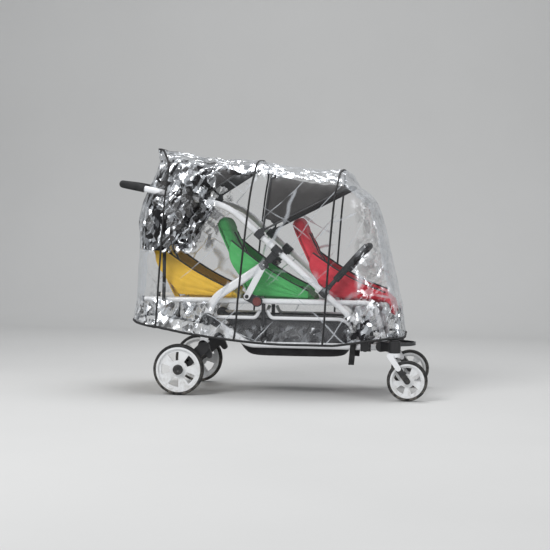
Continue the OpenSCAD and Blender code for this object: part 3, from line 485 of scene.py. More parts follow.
def seat_cloth(name, color):
    return finish(name, color, 0.72, 0.22, 11, 0.0, weave(0.0022), Sheen_Weight=0.25, Sheen_Roughness=0.4)


seat_cloths = [seat_cloth("yellow_cloth", (0.92, 0.56, 0.04)), seat_cloth("green_cloth", (0.07, 0.46, 0.12)),
               seat_cloth("red_cloth", (0.68, 0.025, 0.05))]
for name, cloth in zip(SEAT_NAMES, seat_cloths):
    paint(f"{name}_back_board", cloth)
hood_cloth = finish("hood_cloth", (0.036, 0.032, 0.030), 0.7, 0.3, 9, 0.0, weave(0.0018), Sheen_Weight=0.15)
webbing = finish("webbing", (0.014, 0.014, 0.015), 0.7, 0.3, 40, 0.0, weave(0.003, 0.0008, 0.8))
piping_cloth = finish("piping_cloth", (0.012, 0.012, 0.013), 0.6, 0.3, 40, 0.0, weave(0.0015))
basket_cloth = finish("basket_cloth", (0.02, 0.02, 0.022), 0.75, 0.3, 12, 0.3, weave(0.0025, 0.0008, 0.8))
seat_thread = [finish(f"{n}_thread", c, 0.6, 0.2, 60, 0.0) for n, c in (
    ("yellow", (0.55, 0.30, 0.02)), ("green", (0.03, 0.26, 0.06)), ("red", (0.42, 0.02, 0.03)))]
print("seat cloths:", ", ".join(cloth.name for cloth in seat_cloths))

# %% [markdown]
# The basket's sides are netting. Real threads would need far too many faces, so the net is a sheet whose
# alpha follows a fine lattice: full where either of two slanted waves is near zero, and thin between.

# %% Netting
NET_PITCH = 0.0045
NET_THREAD = 0.35
NET_SOFT = 0.15
NET_OPEN = 0.35


def make_net(name, color, pitch, thread_share):
    material = finish(name, color, 0.7, 0.3, 12, 0.2)
    tree = material.node_tree
    place = add_node(tree, "ShaderNodeSeparateXYZ", {0: object_place(tree)})
    turn = math.pi / pitch
    threads = []
    for sign in SIDES:
        slant = math_node(tree, "ADD", place.outputs["X"],
                          math_node(tree, "MULTIPLY", place.outputs["Z"], sign))
        slant = math_node(tree, "ADD", slant, place.outputs["Y"])
        wave = math_node(tree, "SINE", math_node(tree, "MULTIPLY", slant, turn))
        threads.append(math_node(tree, "ABSOLUTE", wave))
    lattice = math_node(tree, "MINIMUM", *threads)
    thread = map_node(tree, lattice, thread_share, thread_share + NET_SOFT, 1.0, NET_OPEN)
    tree.links.new(thread, tree.nodes["Principled BSDF"].inputs["Alpha"])
    return material


net_cloth = make_net("basket_net", (0.10, 0.10, 0.105), NET_PITCH, NET_THREAD)
print(f"net with a mesh of {NET_PITCH / MM} mm")

# %% [markdown]
# Clear film reflects a little of what is around it and lets the rest through. That is a glossy surface
# with a low alpha, which rises at grazing angles, as Fresnel says, and on creases. Where the film is
# slack it breaks into shards that mirror bright or dark surroundings. A plain studio has no such
# surroundings, so each shard is painted pale or dark, a painted reflection. Tight film only has pale
# streaks, which are painted highlights.

# %% Film
# The dark and pale shard colours are painted reflections; the clear colour is also the colour of the painted
# highlight streaks.
DARK_REFLECTION_SHARD = (0.03, 0.03, 0.035, 1)
PALE_REFLECTION_SHARD = (0.93, 0.96, 1.0, 1)
CLEAR_SHADE = (0.9, 0.93, 0.97, 1)
SLACK_SPAN = (0.34, 1.04)
VEIL_SPAN = (0.03, 0.6)
SHARD_TILT = 1.9
SHARD_ALPHA = 0.8
CREASE_ALPHA = 0.5
HIGHLIGHT_STREAK_ALPHA = 0.75
FILM_SOCKETS = {"Roughness": 0.26, "Metallic": 0.85}


def make_film():
    material = bpy.data.materials.new("clear_film")
    material.use_nodes = True
    tree = material.node_tree
    shader = tree.nodes["Principled BSDF"]
    shards = place_group(tree, shard_group)
    streaks = place_group(tree, highlight_streak_group)
    slack = add_node(tree, "ShaderNodeAttribute", attribute_name="slack").outputs["Fac"]
    loose = map_node(tree, slack, *SLACK_SPAN)
    lean = vector_node(tree, "SUBTRACT", {0: shards.outputs["Tilt"], 1: (0.5, 0.5, 0.5)})
    lean = vector_node(tree, "SCALE", {0: lean, "Scale": math_node(tree, "MULTIPLY", loose, SHARD_TILT)})
    facing = add_node(tree, "ShaderNodeNewGeometry").outputs["Normal"]
    leaned = vector_node(tree, "ADD", {0: facing, 1: lean})
    tree.links.new(vector_node(tree, "NORMALIZE", {0: leaned}), shader.inputs["Normal"])
    edge_on = add_node(tree, "ShaderNodeLayerWeight", {"Blend": 0.3}).outputs["Fresnel"]
    veil = map_node(tree, edge_on, 0.0, 1.0, *VEIL_SPAN)
    shown = math_node(tree, "MULTIPLY", shards.outputs["Strength"], SHARD_ALPHA)
    crease = math_node(tree, "MULTIPLY", shards.outputs["Crease"], CREASE_ALPHA)
    shown = math_node(tree, "MULTIPLY", math_node(tree, "MAXIMUM", shown, crease), loose)
    # The pale streaks on tight film are painted highlights.
    streak = math_node(tree, "MULTIPLY", streaks.outputs["Streak"], HIGHLIGHT_STREAK_ALPHA)
    drawn = math_node(tree, "MAXIMUM", veil, streak)
    tree.links.new(math_node(tree, "MAXIMUM", drawn, shown), shader.inputs["Alpha"])
    # Each shard's pale or dark colour is a painted reflection.
    painted_reflection = mix_colors(tree, shards.outputs["Reflection Tone"], DARK_REFLECTION_SHARD, PALE_REFLECTION_SHARD)
    crumpled = math_node(tree, "GREATER_THAN", shown, drawn)
    shade = mix_colors(tree, crumpled, CLEAR_SHADE, painted_reflection)
    tree.links.new(shade, shader.inputs["Base Color"])
    for label, value in FILM_SOCKETS.items():
        shader.inputs[label].default_value = value
    return material


clear_film = make_film()
print(f"{len(bpy.data.materials)} materials")

# %% [markdown]
# ## Studio
#
# The paper sweep is a single curved sheet: floor, a round corner and a back wall. It is pale in
# itself, so it looks pale under plain light.

# %% Studio
SWEEP_HALF = 9.0
SWEEP_FRONT = -9.0
SWEEP_BACK = 3.2
SWEEP_RISE = 6.0
SWEEP_CORNER = 1.6
CORNER_STEPS = 24


def make_paper():
    """Pale paper, nearly matt."""
    paper = finish("pale_paper", (0.58, 0.58, 0.575), 0.9, 0.03, 1.0)
    paper.node_tree.nodes["Principled BSDF"].inputs["Specular IOR Level"].default_value = 0.1
    return paper


def make_sweep():
    line = [(SWEEP_FRONT, 0.0)]
    for i in range(CORNER_STEPS + 1):
        turn = 0.5 * math.pi * i / CORNER_STEPS
        line.append((SWEEP_BACK + SWEEP_CORNER * math.sin(turn), SWEEP_CORNER * (1 - math.cos(turn))))
    line.append((SWEEP_BACK + SWEEP_CORNER, SWEEP_RISE))
    points = [(x, y, z) for y, z in line for x in (-SWEEP_HALF, SWEEP_HALF)]
    return add_mesh("paper_sweep", points, grid_faces(len(line), 2), make_paper())


sweep = make_sweep()

print(f"{sweep.name}: {2 * SWEEP_HALF:.0f} m wide")

# %% [markdown]
# A lamp is a place, a size and a strength. Large lamps give soft shadows. The key is on the camera's left,
# the fill on its right and the top lamp overhead, and the world adds a little light from all round.

# %% Lamps and world
WORLD_LEVEL = 0.36
LAMPS = {"key": ((-2.6, -4.2, 4.4), 2.6, 230), "fill": ((4.6, -3.8, 2.6), 1.8, 80),
         "top": ((0.4, 0.6, 4.8), 2.4, 120)}
LAMP_AIM = Vector((0, 0, 0.55))
for name, (place, size, watts) in LAMPS.items():
    lamp = bpy.data.objects.new(name, bpy.data.lights.new(name, "AREA"))
    lamp.data.size = size
    lamp.data.energy = watts
    lamp.location = place
    lamp.rotation_euler = (LAMP_AIM - Vector(place)).to_track_quat("-Z", "Y").to_euler()
    scene.collection.objects.link(lamp)
scene.world = scene.world or bpy.data.worlds.new("studio")
scene.world.use_nodes = True
sky = scene.world.node_tree.nodes["Background"]
sky.inputs["Strength"].default_value = WORLD_LEVEL
sky.inputs["Color"].default_value = (0.93, 0.96, 1.0, 1)
print(f"{len(LAMPS)} lamps, world at {WORLD_LEVEL}")

# %% [markdown]
# ## Small parts that repeat
#
# Rivets, stitches and piping follow points or lines, so Geometry Nodes make them. Each tree takes
# its sizes as named inputs, and the result becomes a plain mesh at once.

# %% Geometry Nodes helpers


def geometry_tree(name, sizes):
    """A tree with a geometry input, named sizes and a material, and its two end nodes."""
    tree = bpy.data.node_groups.new(name, "GeometryNodeTree")
    tree.interface.new_socket("Geometry", in_out="INPUT", socket_type="NodeSocketGeometry")
    for label in sizes:
        tree.interface.new_socket(label, in_out="INPUT", socket_type="NodeSocketFloat")
    tree.interface.new_socket("Material", in_out="INPUT", socket_type="NodeSocketMaterial")
    tree.interface.new_socket("Geometry", in_out="OUTPUT", socket_type="NodeSocketGeometry")
    return tree, tree.nodes.new("NodeGroupInput"), tree.nodes.new("NodeGroupOutput")


def end_tree(tree, given, out, made):
    """Every tree ends the same way: real geometry, smooth, in its material."""
    solid = add_node(tree, "GeometryNodeRealizeInstances", {0: made})
    smooth = add_node(tree, "GeometryNodeSetShadeSmooth", {"Geometry": solid.outputs[0]})
    painted = add_node(tree, "GeometryNodeSetMaterial", {
        "Geometry": smooth.outputs[0], "Material": given.outputs["Material"]})
    tree.links.new(painted.outputs[0], out.inputs["Geometry"])
    return tree


def make_piping_tree():
    tree, given, out = geometry_tree("piping", ["Radius"])
    line = add_node(tree, "GeometryNodeMeshToCurve", {"Mesh": given.outputs["Geometry"]})
    ring = add_node(tree, "GeometryNodeCurvePrimitiveCircle", {
        "Resolution": 8, "Radius": given.outputs["Radius"]})
    rope = add_node(tree, "GeometryNodeCurveToMesh", {
        "Curve": line.outputs[0], "Profile Curve": ring.outputs[0], "Fill Caps": True})
    return end_tree(tree, given, out, rope.outputs[0])


def make_stitch_tree():
    tree, given, out = geometry_tree("stitches", ["Spacing", "Length", "Thread"])
    line = add_node(tree, "GeometryNodeMeshToCurve", {"Mesh": given.outputs["Geometry"]})
    spots = add_node(tree, "GeometryNodeCurveToPoints", {
        "Curve": line.outputs[0], "Length": given.outputs["Spacing"]}, mode="LENGTH")
    bead = add_node(tree, "GeometryNodeMeshUVSphere", {"Segments": 6, "Rings": 4, "Radius": 1.0})
    size = add_node(tree, "ShaderNodeCombineXYZ", {
        "X": given.outputs["Thread"], "Y": given.outputs["Thread"], "Z": given.outputs["Length"]})
    beads = add_node(tree, "GeometryNodeInstanceOnPoints", {
        "Points": spots.outputs["Points"], "Instance": bead.outputs["Mesh"],
        "Rotation": spots.outputs["Rotation"], "Scale": size.outputs[0]})
    return end_tree(tree, given, out, beads.outputs[0])


def make_rivet_tree():
    tree, given, out = geometry_tree("rivets", ["Radius", "Rise"])
    facing = add_node(tree, "GeometryNodeInputNamedAttribute", {"Name": "facing"}, data_type="FLOAT_VECTOR")
    turn = add_node(tree, "FunctionNodeAlignRotationToVector", {"Vector": facing.outputs[0]}, axis="Z")
    head = add_node(tree, "GeometryNodeMeshUVSphere", {"Segments": 16, "Rings": 8, "Radius": 1.0})
    size = add_node(tree, "ShaderNodeCombineXYZ", {
        "X": given.outputs["Radius"], "Y": given.outputs["Radius"], "Z": given.outputs["Rise"]})
    heads = add_node(tree, "GeometryNodeInstanceOnPoints", {
        "Points": given.outputs["Geometry"], "Instance": head.outputs["Mesh"], "Rotation": turn.outputs[0],
        "Scale": size.outputs[0]})
    return end_tree(tree, given, out, heads.outputs[0])


piping_tree = make_piping_tree()
stitch_tree = make_stitch_tree()
rivet_tree = make_rivet_tree()
print("geometry trees:", ", ".join(tree.name for tree in (piping_tree, stitch_tree, rivet_tree)))

# %% [markdown]
# A tree works as a modifier on a mesh of bare points or edges. Each size is found by its name and set by its
# socket's identifier, and the result is kept as a plain mesh. A piece of trim needs only its lines or spots.

# %% Growing trim on lines and spots


def settle(piece):
    """Applies a piece's modifiers, so that its mesh is final."""
    graph = bpy.context.evaluated_depsgraph_get()
    mesh = bpy.data.meshes.new_from_object(piece.evaluated_get(graph))
    piece.modifiers.clear()
    piece.data = mesh
    mesh.shade_smooth()
    return piece


def grow(piece, tree, material, sizes):
    """Runs a tree on a piece and keeps the result as its plain mesh."""
    modifier = piece.modifiers.new(tree.name, "NODES")
    modifier.node_group = tree
    for item in tree.interface.items_tree:
        if item.in_out == "INPUT" and item.name in sizes:
            modifier[item.identifier] = sizes[item.name]
        if item.in_out == "INPUT" and item.name == "Material":
            modifier[item.identifier] = material
    settle(piece)
    return piece


def line_mesh(name, lines):
    """Polylines as a mesh of edges. A line that ends where it began is closed."""
    points = []
    edges = []
    for line in lines:
        closed = (Vector(line[0]) - Vector(line[-1])).length < 1e-6
        line = line[:-1] if closed else line
        first = len(points)
        points += [tuple(p) for p in line]
        edges += [(first + i, first + i + 1) for i in range(len(line) - 1)]
        if closed:
            edges.append((first + len(line) - 1, first))
    return add_mesh(name, points, [], None, edges)


def add_piping(name, lines, radius, material=piping_cloth):
    return grow(line_mesh(name, lines), piping_tree, material, {"Radius": radius})


def add_stitches(name, lines, material, spacing=0.007, length=0.0024, thread=0.0007):
    sizes = {"Spacing": spacing, "Length": length, "Thread": thread}
    return grow(line_mesh(name, lines), stitch_tree, material, sizes)


def add_rivets(name, spots, radius, rise, material=steel):
    """Domed heads at spots, each a place and the way that it faces."""
    piece = add_mesh(name, [p for p, _ in spots], [])
    facing = piece.data.attributes.new("facing", "FLOAT_VECTOR", "POINT")
    facing.data.foreach_set("vector", [c for _, way in spots for c in way])
    return grow(piece, rivet_tree, material, {"Radius": radius, "Rise": rise})


# %% [markdown]
# ## Padded seats
#
# A seat pad is a cloth bag round foam. The CAD solid gives its outline. The bag is remeshed finely and
# blown up a little by Blender's cloth, which rounds it, and a soft noise then wrinkles it. The seats are
# alike, so one cushion and one back are made and copied. The front cushion has a form of its own.

# %% Moving points


def points_of(piece):
    flat = np.empty(len(piece.data.vertices) * 3)
    piece.data.vertices.foreach_get("co", flat)
    return flat.reshape(-1, 3)


def set_points(piece, points):
    piece.data.vertices.foreach_set("co", np.asarray(points, float).ravel())
    piece.data.update()


def normals_of(piece):
    flat = np.empty(len(piece.data.vertices) * 3)
    piece.data.vertices.foreach_get("normal", flat)
    return flat.reshape(-1, 3)


def wrinkle(piece, depth, scale, seed):
    """Moves points along their normals by a soft noise."""
    points = points_of(piece)
    way = normals_of(piece)
    swing = np.array([noise.fractal(Vector(p) * scale + Vector((seed, 0, 0)), 0.6, 2.0, 3) for p in points])
    set_points(piece, points + way * (swing * depth)[:, None])
    return piece


# %% [markdown]
# Cloth needs small, even faces to bend, and a CAD mesh has long thin ones. So a copy of the solid is merged,
# remeshed in even steps and made a little smaller, because pressure will swell it.

# %% Puffed pads
VOXEL = 0.006
PUFF_FRAMES = 20
PUFF_PRESSURE = 4.0
PUFF_CAP = 0.010
PAD_SHRINK = 0.25
PAD_WRINKLE = (0.004, 20, 3)
MERGE = 0.00005


def copy_node(name, node):
    """A merged copy of a CAD node's mesh as a new piece."""
    source = nodes[node].data
    points = np.empty(len(source.vertices) * 3)
    source.vertices.foreach_get("co", points)
    piece = add_mesh(name, points.reshape(-1, 3), [tuple(p.vertices) for p in source.polygons])
    weld = piece.modifiers.new("weld", "WELD")
    weld.merge_threshold = MERGE
    return settle(piece)


def remesh(piece, voxel):
    modifier = piece.modifiers.new("remesh", "REMESH")
    modifier.mode = "VOXEL"
    modifier.voxel_size = voxel
    return settle(piece)


def puff(piece):
    """Blows a pad up with cloth pressure, and keeps every point within the cap of where it was."""
    start = points_of(piece)
    modifier = piece.modifiers.new("cloth", "CLOTH")
    cloth = modifier.settings
    cloth.quality = 4
    cloth.use_pressure = True
    cloth.uniform_pressure_force = PUFF_PRESSURE
    cloth.effector_weights.gravity = 0
    modifier.point_cache.frame_end = PUFF_FRAMES
    for step in range(1, PUFF_FRAMES + 1):
        scene.frame_set(step)
    settle(piece)
    scene.frame_set(1)
    moved = points_of(piece) - start
    length = np.linalg.norm(moved, axis=1, keepdims=True)
    capped = moved * np.minimum(1, PUFF_CAP / np.maximum(length, 1e-9))
    set_points(piece, start + capped)
    return piece


def make_pad(name, node):
    """A puffed copy of a CAD pad."""
    pad = remesh(copy_node(name, node), VOXEL)
    set_points(pad, points_of(pad) - normals_of(pad) * PUFF_CAP * PAD_SHRINK)
    puff(pad)
    wrinkle(pad, *PAD_WRINKLE)
    smooth = pad.modifiers.new("smooth", "SMOOTH")
    smooth.iterations = 2
    pad.modifiers.new("subdivision", "SUBSURF")
    return settle(pad)


# %% [markdown]
# Each back turns on a hinge, and the frame knows where the three hinges are. The seats' places and their
# pitch come from there, so the cloth stays with the CAD if the seats are moved.

# %% Seat sizes
SEAT_X = [(joint_at[f"{n}_back_tilt"].x - AXLE_X) / MM for n in SEAT_NAMES]
SEAT_PITCH = SEAT_X[1] - SEAT_X[0]
RAIL_Z = joint_at["rear_back_tilt"].z / MM
SEAT_HALF = 163
BACK_LEAN = math.radians(26)
CUSHION_LOW = RAIL_Z + 10
CUSHION_GAP = 22
CUSHION_LONG = 212
PAD_T = 40


def back_at(seat, up, out, y):
    """A point on a seat's back: up along it, out in front of its middle, and across."""
    x = SEAT_X[seat] - up * math.sin(BACK_LEAN) + out * math.cos(BACK_LEAN)
    return at(x, y, RAIL_Z + up * math.cos(BACK_LEAN) + out * math.sin(BACK_LEAN))


def shifted(piece, name, seat, material):
    """A copy of a rear-seat piece, moved along to another seat, in that seat's material."""
    copy = bpy.data.objects.new(name, piece.data.copy())
    copy.data.transform(Matrix.Translation((SEAT_PITCH * seat * MM, 0, 0)))
    copy.data.materials.clear()
    copy.data.materials.append(material)
    scene.collection.objects.link(copy)
    return copy


cushion_form = make_pad("cushion_form", "rear_cushion")
flap_form = make_pad("flap_form", "front_cushion")
back_form = make_pad("back_form", "rear_back_pad")
flap_form.data.transform(Matrix.Translation((-2 * SEAT_PITCH * MM, 0, 0)))
print(f"cushion {len(cushion_form.data.polygons)} faces, back {len(back_form.data.polygons)} faces")

# %% [markdown]
# Straps lie on the pads, so their lines are dropped onto the puffed surface. A ray finds the surface, and
# each point is lifted a little off it. A strap is a flat ribbon between two such lines.

# %% Dropping lines onto pads
RAY_START = 0.12


def surface_of(*pieces):
    """One search tree over the surfaces of several pieces."""
    points = []
    faces = []
    for piece in pieces:
        first = len(points)
        points += [v.co.copy() for v in piece.data.vertices]
        faces += [tuple(first + i for i in p.vertices) for p in piece.data.polygons]
    return BVHTree.FromPolygons(points, faces)


def dropped(surface, points, way, lift):
    """Points moved along a direction to the surface, then lifted back off it."""
    way = Vector(way).normalized()
    found = []
    for p in points:
        hit = surface.ray_cast(Vector(p) - way * RAY_START, way)[0]
        found.append((hit if hit else Vector(p)) - way * lift)
    return found


def ribbon(name, lefts, rights, thick, up, material):
    """A flat strap between two edge lines, with a thickness along up."""
    rise = Vector(up).normalized() * thick
    points = []
    for a, b in zip(lefts, rights):
        points += [a, b, b + rise, a + rise]
    faces = grid_faces(len(lefts), 4, True)
    last = 4 * (len(lefts) - 1)
    faces += [(3, 2, 1, 0), (last, last + 1, last + 2, last + 3)]
    piece = add_mesh(name, points, faces, material)
    bevel = piece.modifiers.new("bevel", "BEVEL")
    bevel.width = thick * 0.3
    bevel.segments = 2
    return settle(piece)


def spread_line(corners, count):
    """Evenly numbered points along a line of corners."""
    line = []
    for mark in np.linspace(0, len(corners) - 1, count):
        i = min(int(mark), len(corners) - 2)
        line.append(lerp(Vector(corners[i]), Vector(corners[i + 1]), mark - i))
    return line


# %% [markdown]
# ## Seats and harness
#
# Each seat has a cushion, a back and a five-point harness of flat webbing. The straps are worked out
# once, on the rear seat's pads, and moved along with the copies of the pads. What is on a back rides
# with it when it tilts, and the rest stays with the chassis.

# %% Straps of one seat
STRAP_HALF = 13
STRAP_T = 0.002
STRAP_LIFT = 0.0006
back_surface = surface_of(back_form)
cushion_surface = surface_of(cushion_form)
BACK_OUT = Vector((math.cos(BACK_LEAN), 0, math.sin(BACK_LEAN)))
DOWN = Vector((0, 0, -1))


def back_strap(y_top, y_low, half):
    """The two edges of a shoulder strap, down the back's face."""
    edges = []
    for side in SIDES:
        top = back_at(0, 330, 0, y_top + side * half)
        line = spread_line([top, back_at(0, 90, 0, y_low + side * half)], 22)
        edges.append(dropped(back_surface, line, -BACK_OUT, STRAP_LIFT))
    return edges


def seat_strap(start, end, half):
    """The two edges of a lap strap over the cushion, across its own direction."""
    way = (Vector(end) - Vector(start)).normalized()
    across = Vector((-way.y, way.x, 0)).normalized() * half * MM
    edges = []
    for sign in SIDES:
        line = spread_line([Vector(start) + across * sign, Vector(end) + across * sign], 14)
        edges.append(dropped(cushion_surface, line, DOWN, STRAP_LIFT))
    return edges


BUCKLE_X = SEAT_X[0] + 118
STRAP_Z = 470
straps = []
for side in SIDES:
    name = SIDE_NAMES[side]
    straps.append((f"shoulder_strap_{name}", back_strap(side * 52, side * 46, STRAP_HALF), BACK_OUT))
    hip = at(SEAT_X[0] + 44, side * 96, STRAP_Z)
    lap = seat_strap(hip, at(BUCKLE_X - 12, side * 16, STRAP_Z), STRAP_HALF)
    straps.append((f"lap_strap_{name}", lap, -DOWN))
crotch = seat_strap(at(BUCKLE_X + 14, 0, STRAP_Z), at(BUCKLE_X + 78, 0, STRAP_Z), STRAP_HALF)
straps.append(("crotch_strap", crotch, -DOWN))
print("straps:", ", ".join(strap[0] for strap in straps))

# %% [markdown]
# With the pads and straps ready, a seat is a copy of each, moved along by the seats' pitch and given its own
# cloth. Straps are built again for each seat, since a strap on a back moves with that back.

# %% Three seats
for seat, seat_name in enumerate(SEAT_NAMES):
    back_body = f"{seat_name}_seat_back"
    form = flap_form if seat_name == "front" else cushion_form
    cushion = shifted(form, f"{seat_name}_cushion_cloth", seat, seat_cloths[seat])
    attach(cushion, "chassis")
    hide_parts(f"{seat_name}_cushion")
    back = shifted(back_form, f"{seat_name}_back_cloth", seat, seat_cloths[seat])
    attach(back, back_body)
    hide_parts(f"{seat_name}_back_pad")
    along = Vector((SEAT_PITCH * seat * MM, 0, 0))
    for name, (lefts, rights), up in straps:
        strap = ribbon(f"{seat_name}_{name}", [p + along for p in lefts], [p + along for p in rights],
                       STRAP_T, up, webbing)
        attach(strap, back_body if name.startswith("shoulder") else "chassis")
for form in (cushion_form, flap_form, back_form):
    bpy.data.objects.remove(form)
print(f"{len(SEAT_NAMES)} seats, {SEAT_PITCH:.0f} mm apart")

# %% [markdown]
# ## Head rolls
#
# The top of each back ends in a thick padded roll. A pillow is a squared-off ring swept across the
# seat, with its ends drawn in, so it is made from a formula and wrinkled like the pads. When the frame
# folds, the hoods come down on the rear and middle rolls, and these two are given meshes of their own.

# %% Head rolls
ROLL_UP = (370, 42)
ROLL_OUT = (2, 26)
ROLL_HALF = 122
ROLL_POWER = 2 / 2.7
ROLL_ROWS = 41
ROLL_AROUND = 32
ROLL_END = 0.9995
ROLL_WRINKLE = (0.003, 24)


def power(value, p):
    return math.copysign(abs(value) ** p, value)


def make_roll(seat):
    """The padded roll over the top of a seat's back, a pillow with its ends drawn in."""
    points = []
    for t in np.linspace(-1, 1, ROLL_ROWS):
        t = float(np.clip(t, -ROLL_END, ROLL_END))
        share = (1 - abs(t) ** 5) ** (1 / 3)
        for k in range(ROLL_AROUND):
            a = 2 * math.pi * k / ROLL_AROUND
            up = ROLL_UP[0] + ROLL_UP[1] * power(math.cos(a), ROLL_POWER) * share
            out = ROLL_OUT[0] + ROLL_OUT[1] * power(math.sin(a), ROLL_POWER) * share
            points.append(back_at(seat, up, out, ROLL_HALF * t))
    ends = [tuple(range(ROLL_AROUND))[::-1], tuple(range(len(points) - ROLL_AROUND, len(points)))]
    roll = add_mesh(f"{SEAT_NAMES[seat]}_head_roll", points, grid_faces(ROLL_ROWS, ROLL_AROUND, True) + ends,
                    seat_cloths[seat])
    wrinkle(roll, *ROLL_WRINKLE, seat * 5)
    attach(roll, f"{SEAT_NAMES[seat]}_seat_back")
    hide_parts(f"{SEAT_NAMES[seat]}_back_pad")
    return roll


for seat, seat_name in enumerate(SEAT_NAMES):
    roll = make_roll(seat)
    if seat_name != "front":
        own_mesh(roll)
print(f"head rolls {2 * ROLL_HALF} mm wide and {2 * ROLL_OUT[1]} mm thick")

# %% [markdown]
# ## Seat wings
#
# A wing is the soft side of a seat, a triangle of cloth sewn to the back and to the cushion. It could be
# simulated, but its creases run to one corner, so a curved grid with a noise round that corner is enough.
# Solidify gives it a thickness. Its flat size is measured on the grid, as a cutter would with a tape.

# %% Sheets of cloth


def thicken(piece, thickness, offset=-1):
    """Gives a sheet a thickness: to both sides of it at offset 0, and behind it at -1."""
    modifier = piece.modifiers.new("thick", "SOLIDIFY")
    modifier.thickness = thickness
    modifier.offset = offset


def path_length(line):
    return sum((Vector(b) - Vector(a)).length for a, b in zip(line, line[1:]))


def cut_size(piece, across, along, layers=2):
    """A sheet's flat width and length, measured on two lines over it, and its area in one layer."""
    flat = (path_length(across), path_length(along))
    area = sum(face.area for face in piece.data.polygons) / layers
    print(f"{piece.name}: flat {flat[0]:.3f} by {flat[1]:.3f} m, {area:.3f} m2 of cloth")
    return flat, area


# %% Seat wings
WING_COLUMNS = 44
WING_ROWS = 28
WING_BELLY = 12
WING_DIP = 0.018
WING_REAR_BOW = 0.042
WING_FOLD = 5
WING_CRUMPLE = 3
WING_T = 0.006
WING_BINDING_R = 0.004
STITCH_LIFT = 3.4
WING_TOP_UP = (272, 296, 240)


def wing_points(seat, side):
    low = CUSHION_LOW + 6
    front_x = SEAT_X[seat] + CUSHION_GAP + CUSHION_LONG
    low_rear = at(SEAT_X[seat] + CUSHION_GAP - 34, 0, low + 8)
    low_front = at(front_x, 0, low)
    top_rear = back_at(seat, WING_TOP_UP[seat], 12, 0)
    top_front = at(front_x, 0, CUSHION_LOW + PAD_T - 2)
    points = []
    for r in range(WING_ROWS):
        v = r / (WING_ROWS - 1)
        for c in range(WING_COLUMNS):
            u = c / (WING_COLUMNS - 1)
            dip = WING_DIP * math.sin(math.pi * u) * v
            p = lerp(lerp(low_rear, low_front, u), lerp(top_rear, top_front, u), v) - Vector((0, 0, dip))
            p.x -= WING_REAR_BOW * math.sin(math.pi * v ** 1.4) * (1 - u) ** 2
            belly = math.sin(math.pi * min(1, 0.15 + 0.85 * u)) * math.sin(math.pi * (0.12 + 0.76 * v))
            reach = p - low_front
            turn = math.atan2(reach.z, -reach.x)
            fold = noise.noise(Vector((turn * 7, reach.length * 4, seat * 7.0 + side)))
            crumple = noise.noise(Vector((p.x * 26, p.z * 26, seat * 3.0 + side)))
            ripple = WING_FOLD * (1 - 2.4 * abs(fold)) + WING_CRUMPLE * crumple
            p.y = side * (SEAT_HALF + 4 + (WING_BELLY + ripple) * belly) * MM
            points.append(p)
    return points


def make_wing(seat, side):
    name = f"{SEAT_NAMES[seat]}_wing_{SIDE_NAMES[side]}"
    faces = grid_faces(WING_ROWS, WING_COLUMNS)
    faces = faces if side > 0 else [f[::-1] for f in faces]
    points = wing_points(seat, side)
    wing = add_mesh(name, points, faces, seat_cloths[seat])
    thicken(wing, WING_T, 0)
    wing.modifiers.new("subdivision", "SUBSURF")
    settle(wing)
    top = points[-WING_COLUMNS:]
    edge = add_piping(name + "_binding", [top], WING_BINDING_R, webbing)
    lift = Vector((0, side * STITCH_LIFT * MM, 0))
    rows = [points[r * WING_COLUMNS:(r + 1) * WING_COLUMNS] for r in (1, WING_ROWS - 3)]
    sewn = add_stitches(name + "_stitches", [[p + lift for p in row] for row in rows], seat_thread[seat])
    for piece in (wing, edge, sewn):
        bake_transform(piece)
    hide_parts(f"{SEAT_NAMES[seat]}_wings")
    flat, area = cut_size(wing, points[::WING_COLUMNS], top)
    return wing


for seat in range(len(SEAT_NAMES)):
    for side in SIDES:
        make_wing(seat, side)

# %% [markdown]
# ## Hoods
#
# Each hood is cloth drawn taut between two bows that spring from one clamp on the push bar. A rib of
# the cloth runs up one side, round the bow's corner, over the top and down again. The ribs are spread
# from bow to bow, with a little sag and a few folds that run to the clamp.

# %% Ribs of a hood
BOW_R = 4.5
BOW_CORNER = 80
FIXED_Y = 223
MOVING_Y = 212
HOOD_FROM = 54
HOOD_RIBS = 34
HOOD_ACROSS = 40
FRONT_HOOD = {"front": (27, 440), "back": (82.7, 252)}
REAR_HOOD = {"front": (33.2, 262), "back": (136, 220)}


def rib_point(reach, y, t):
    """A point on a rib, from t = -1 on the right edge to 1 on the left: [distance from the clamp, across]."""
    corner = BOW_CORNER - BOW_R - 1
    lengths = (reach - BOW_CORNER - HOOD_FROM, corner * math.pi / 2, y - BOW_CORNER)
    way = (1 - abs(t)) * sum(lengths)
    if way < lengths[0]:
        spot = (HOOD_FROM + way, y - BOW_R - 1)
    elif way < lengths[0] + lengths[1]:
        turn = (way - lengths[0]) / corner
        spot = (reach - BOW_CORNER + corner * math.sin(turn), y - BOW_CORNER + corner * math.cos(turn))
    else:
        spot = (reach - BOW_R - 1, (1 - (way - lengths[0] - lengths[1]) / lengths[2]) * (y - BOW_CORNER))
    return spot[0], math.copysign(spot[1], t)


def polar(reach):
    return reach[1] * Vector((math.cos(math.radians(reach[0])), math.sin(math.radians(reach[0]))))


print(f"the front hood reaches {rib_point(FRONT_HOOD['front'][1], MOVING_Y, 0)[0]:.0f} mm from its clamp")

# %% [markdown]
# Between two taut bows the cloth follows the straight line from bow to bow, a little below it. So each rib
# reaches to that line, less a sag, and the finished cloth bends between the push bar and the moving bow.

# %% Hood cloth
HOOD_RIPPLE = 9
HOOD_T = 0.0016
BINDING_R = 0.0028


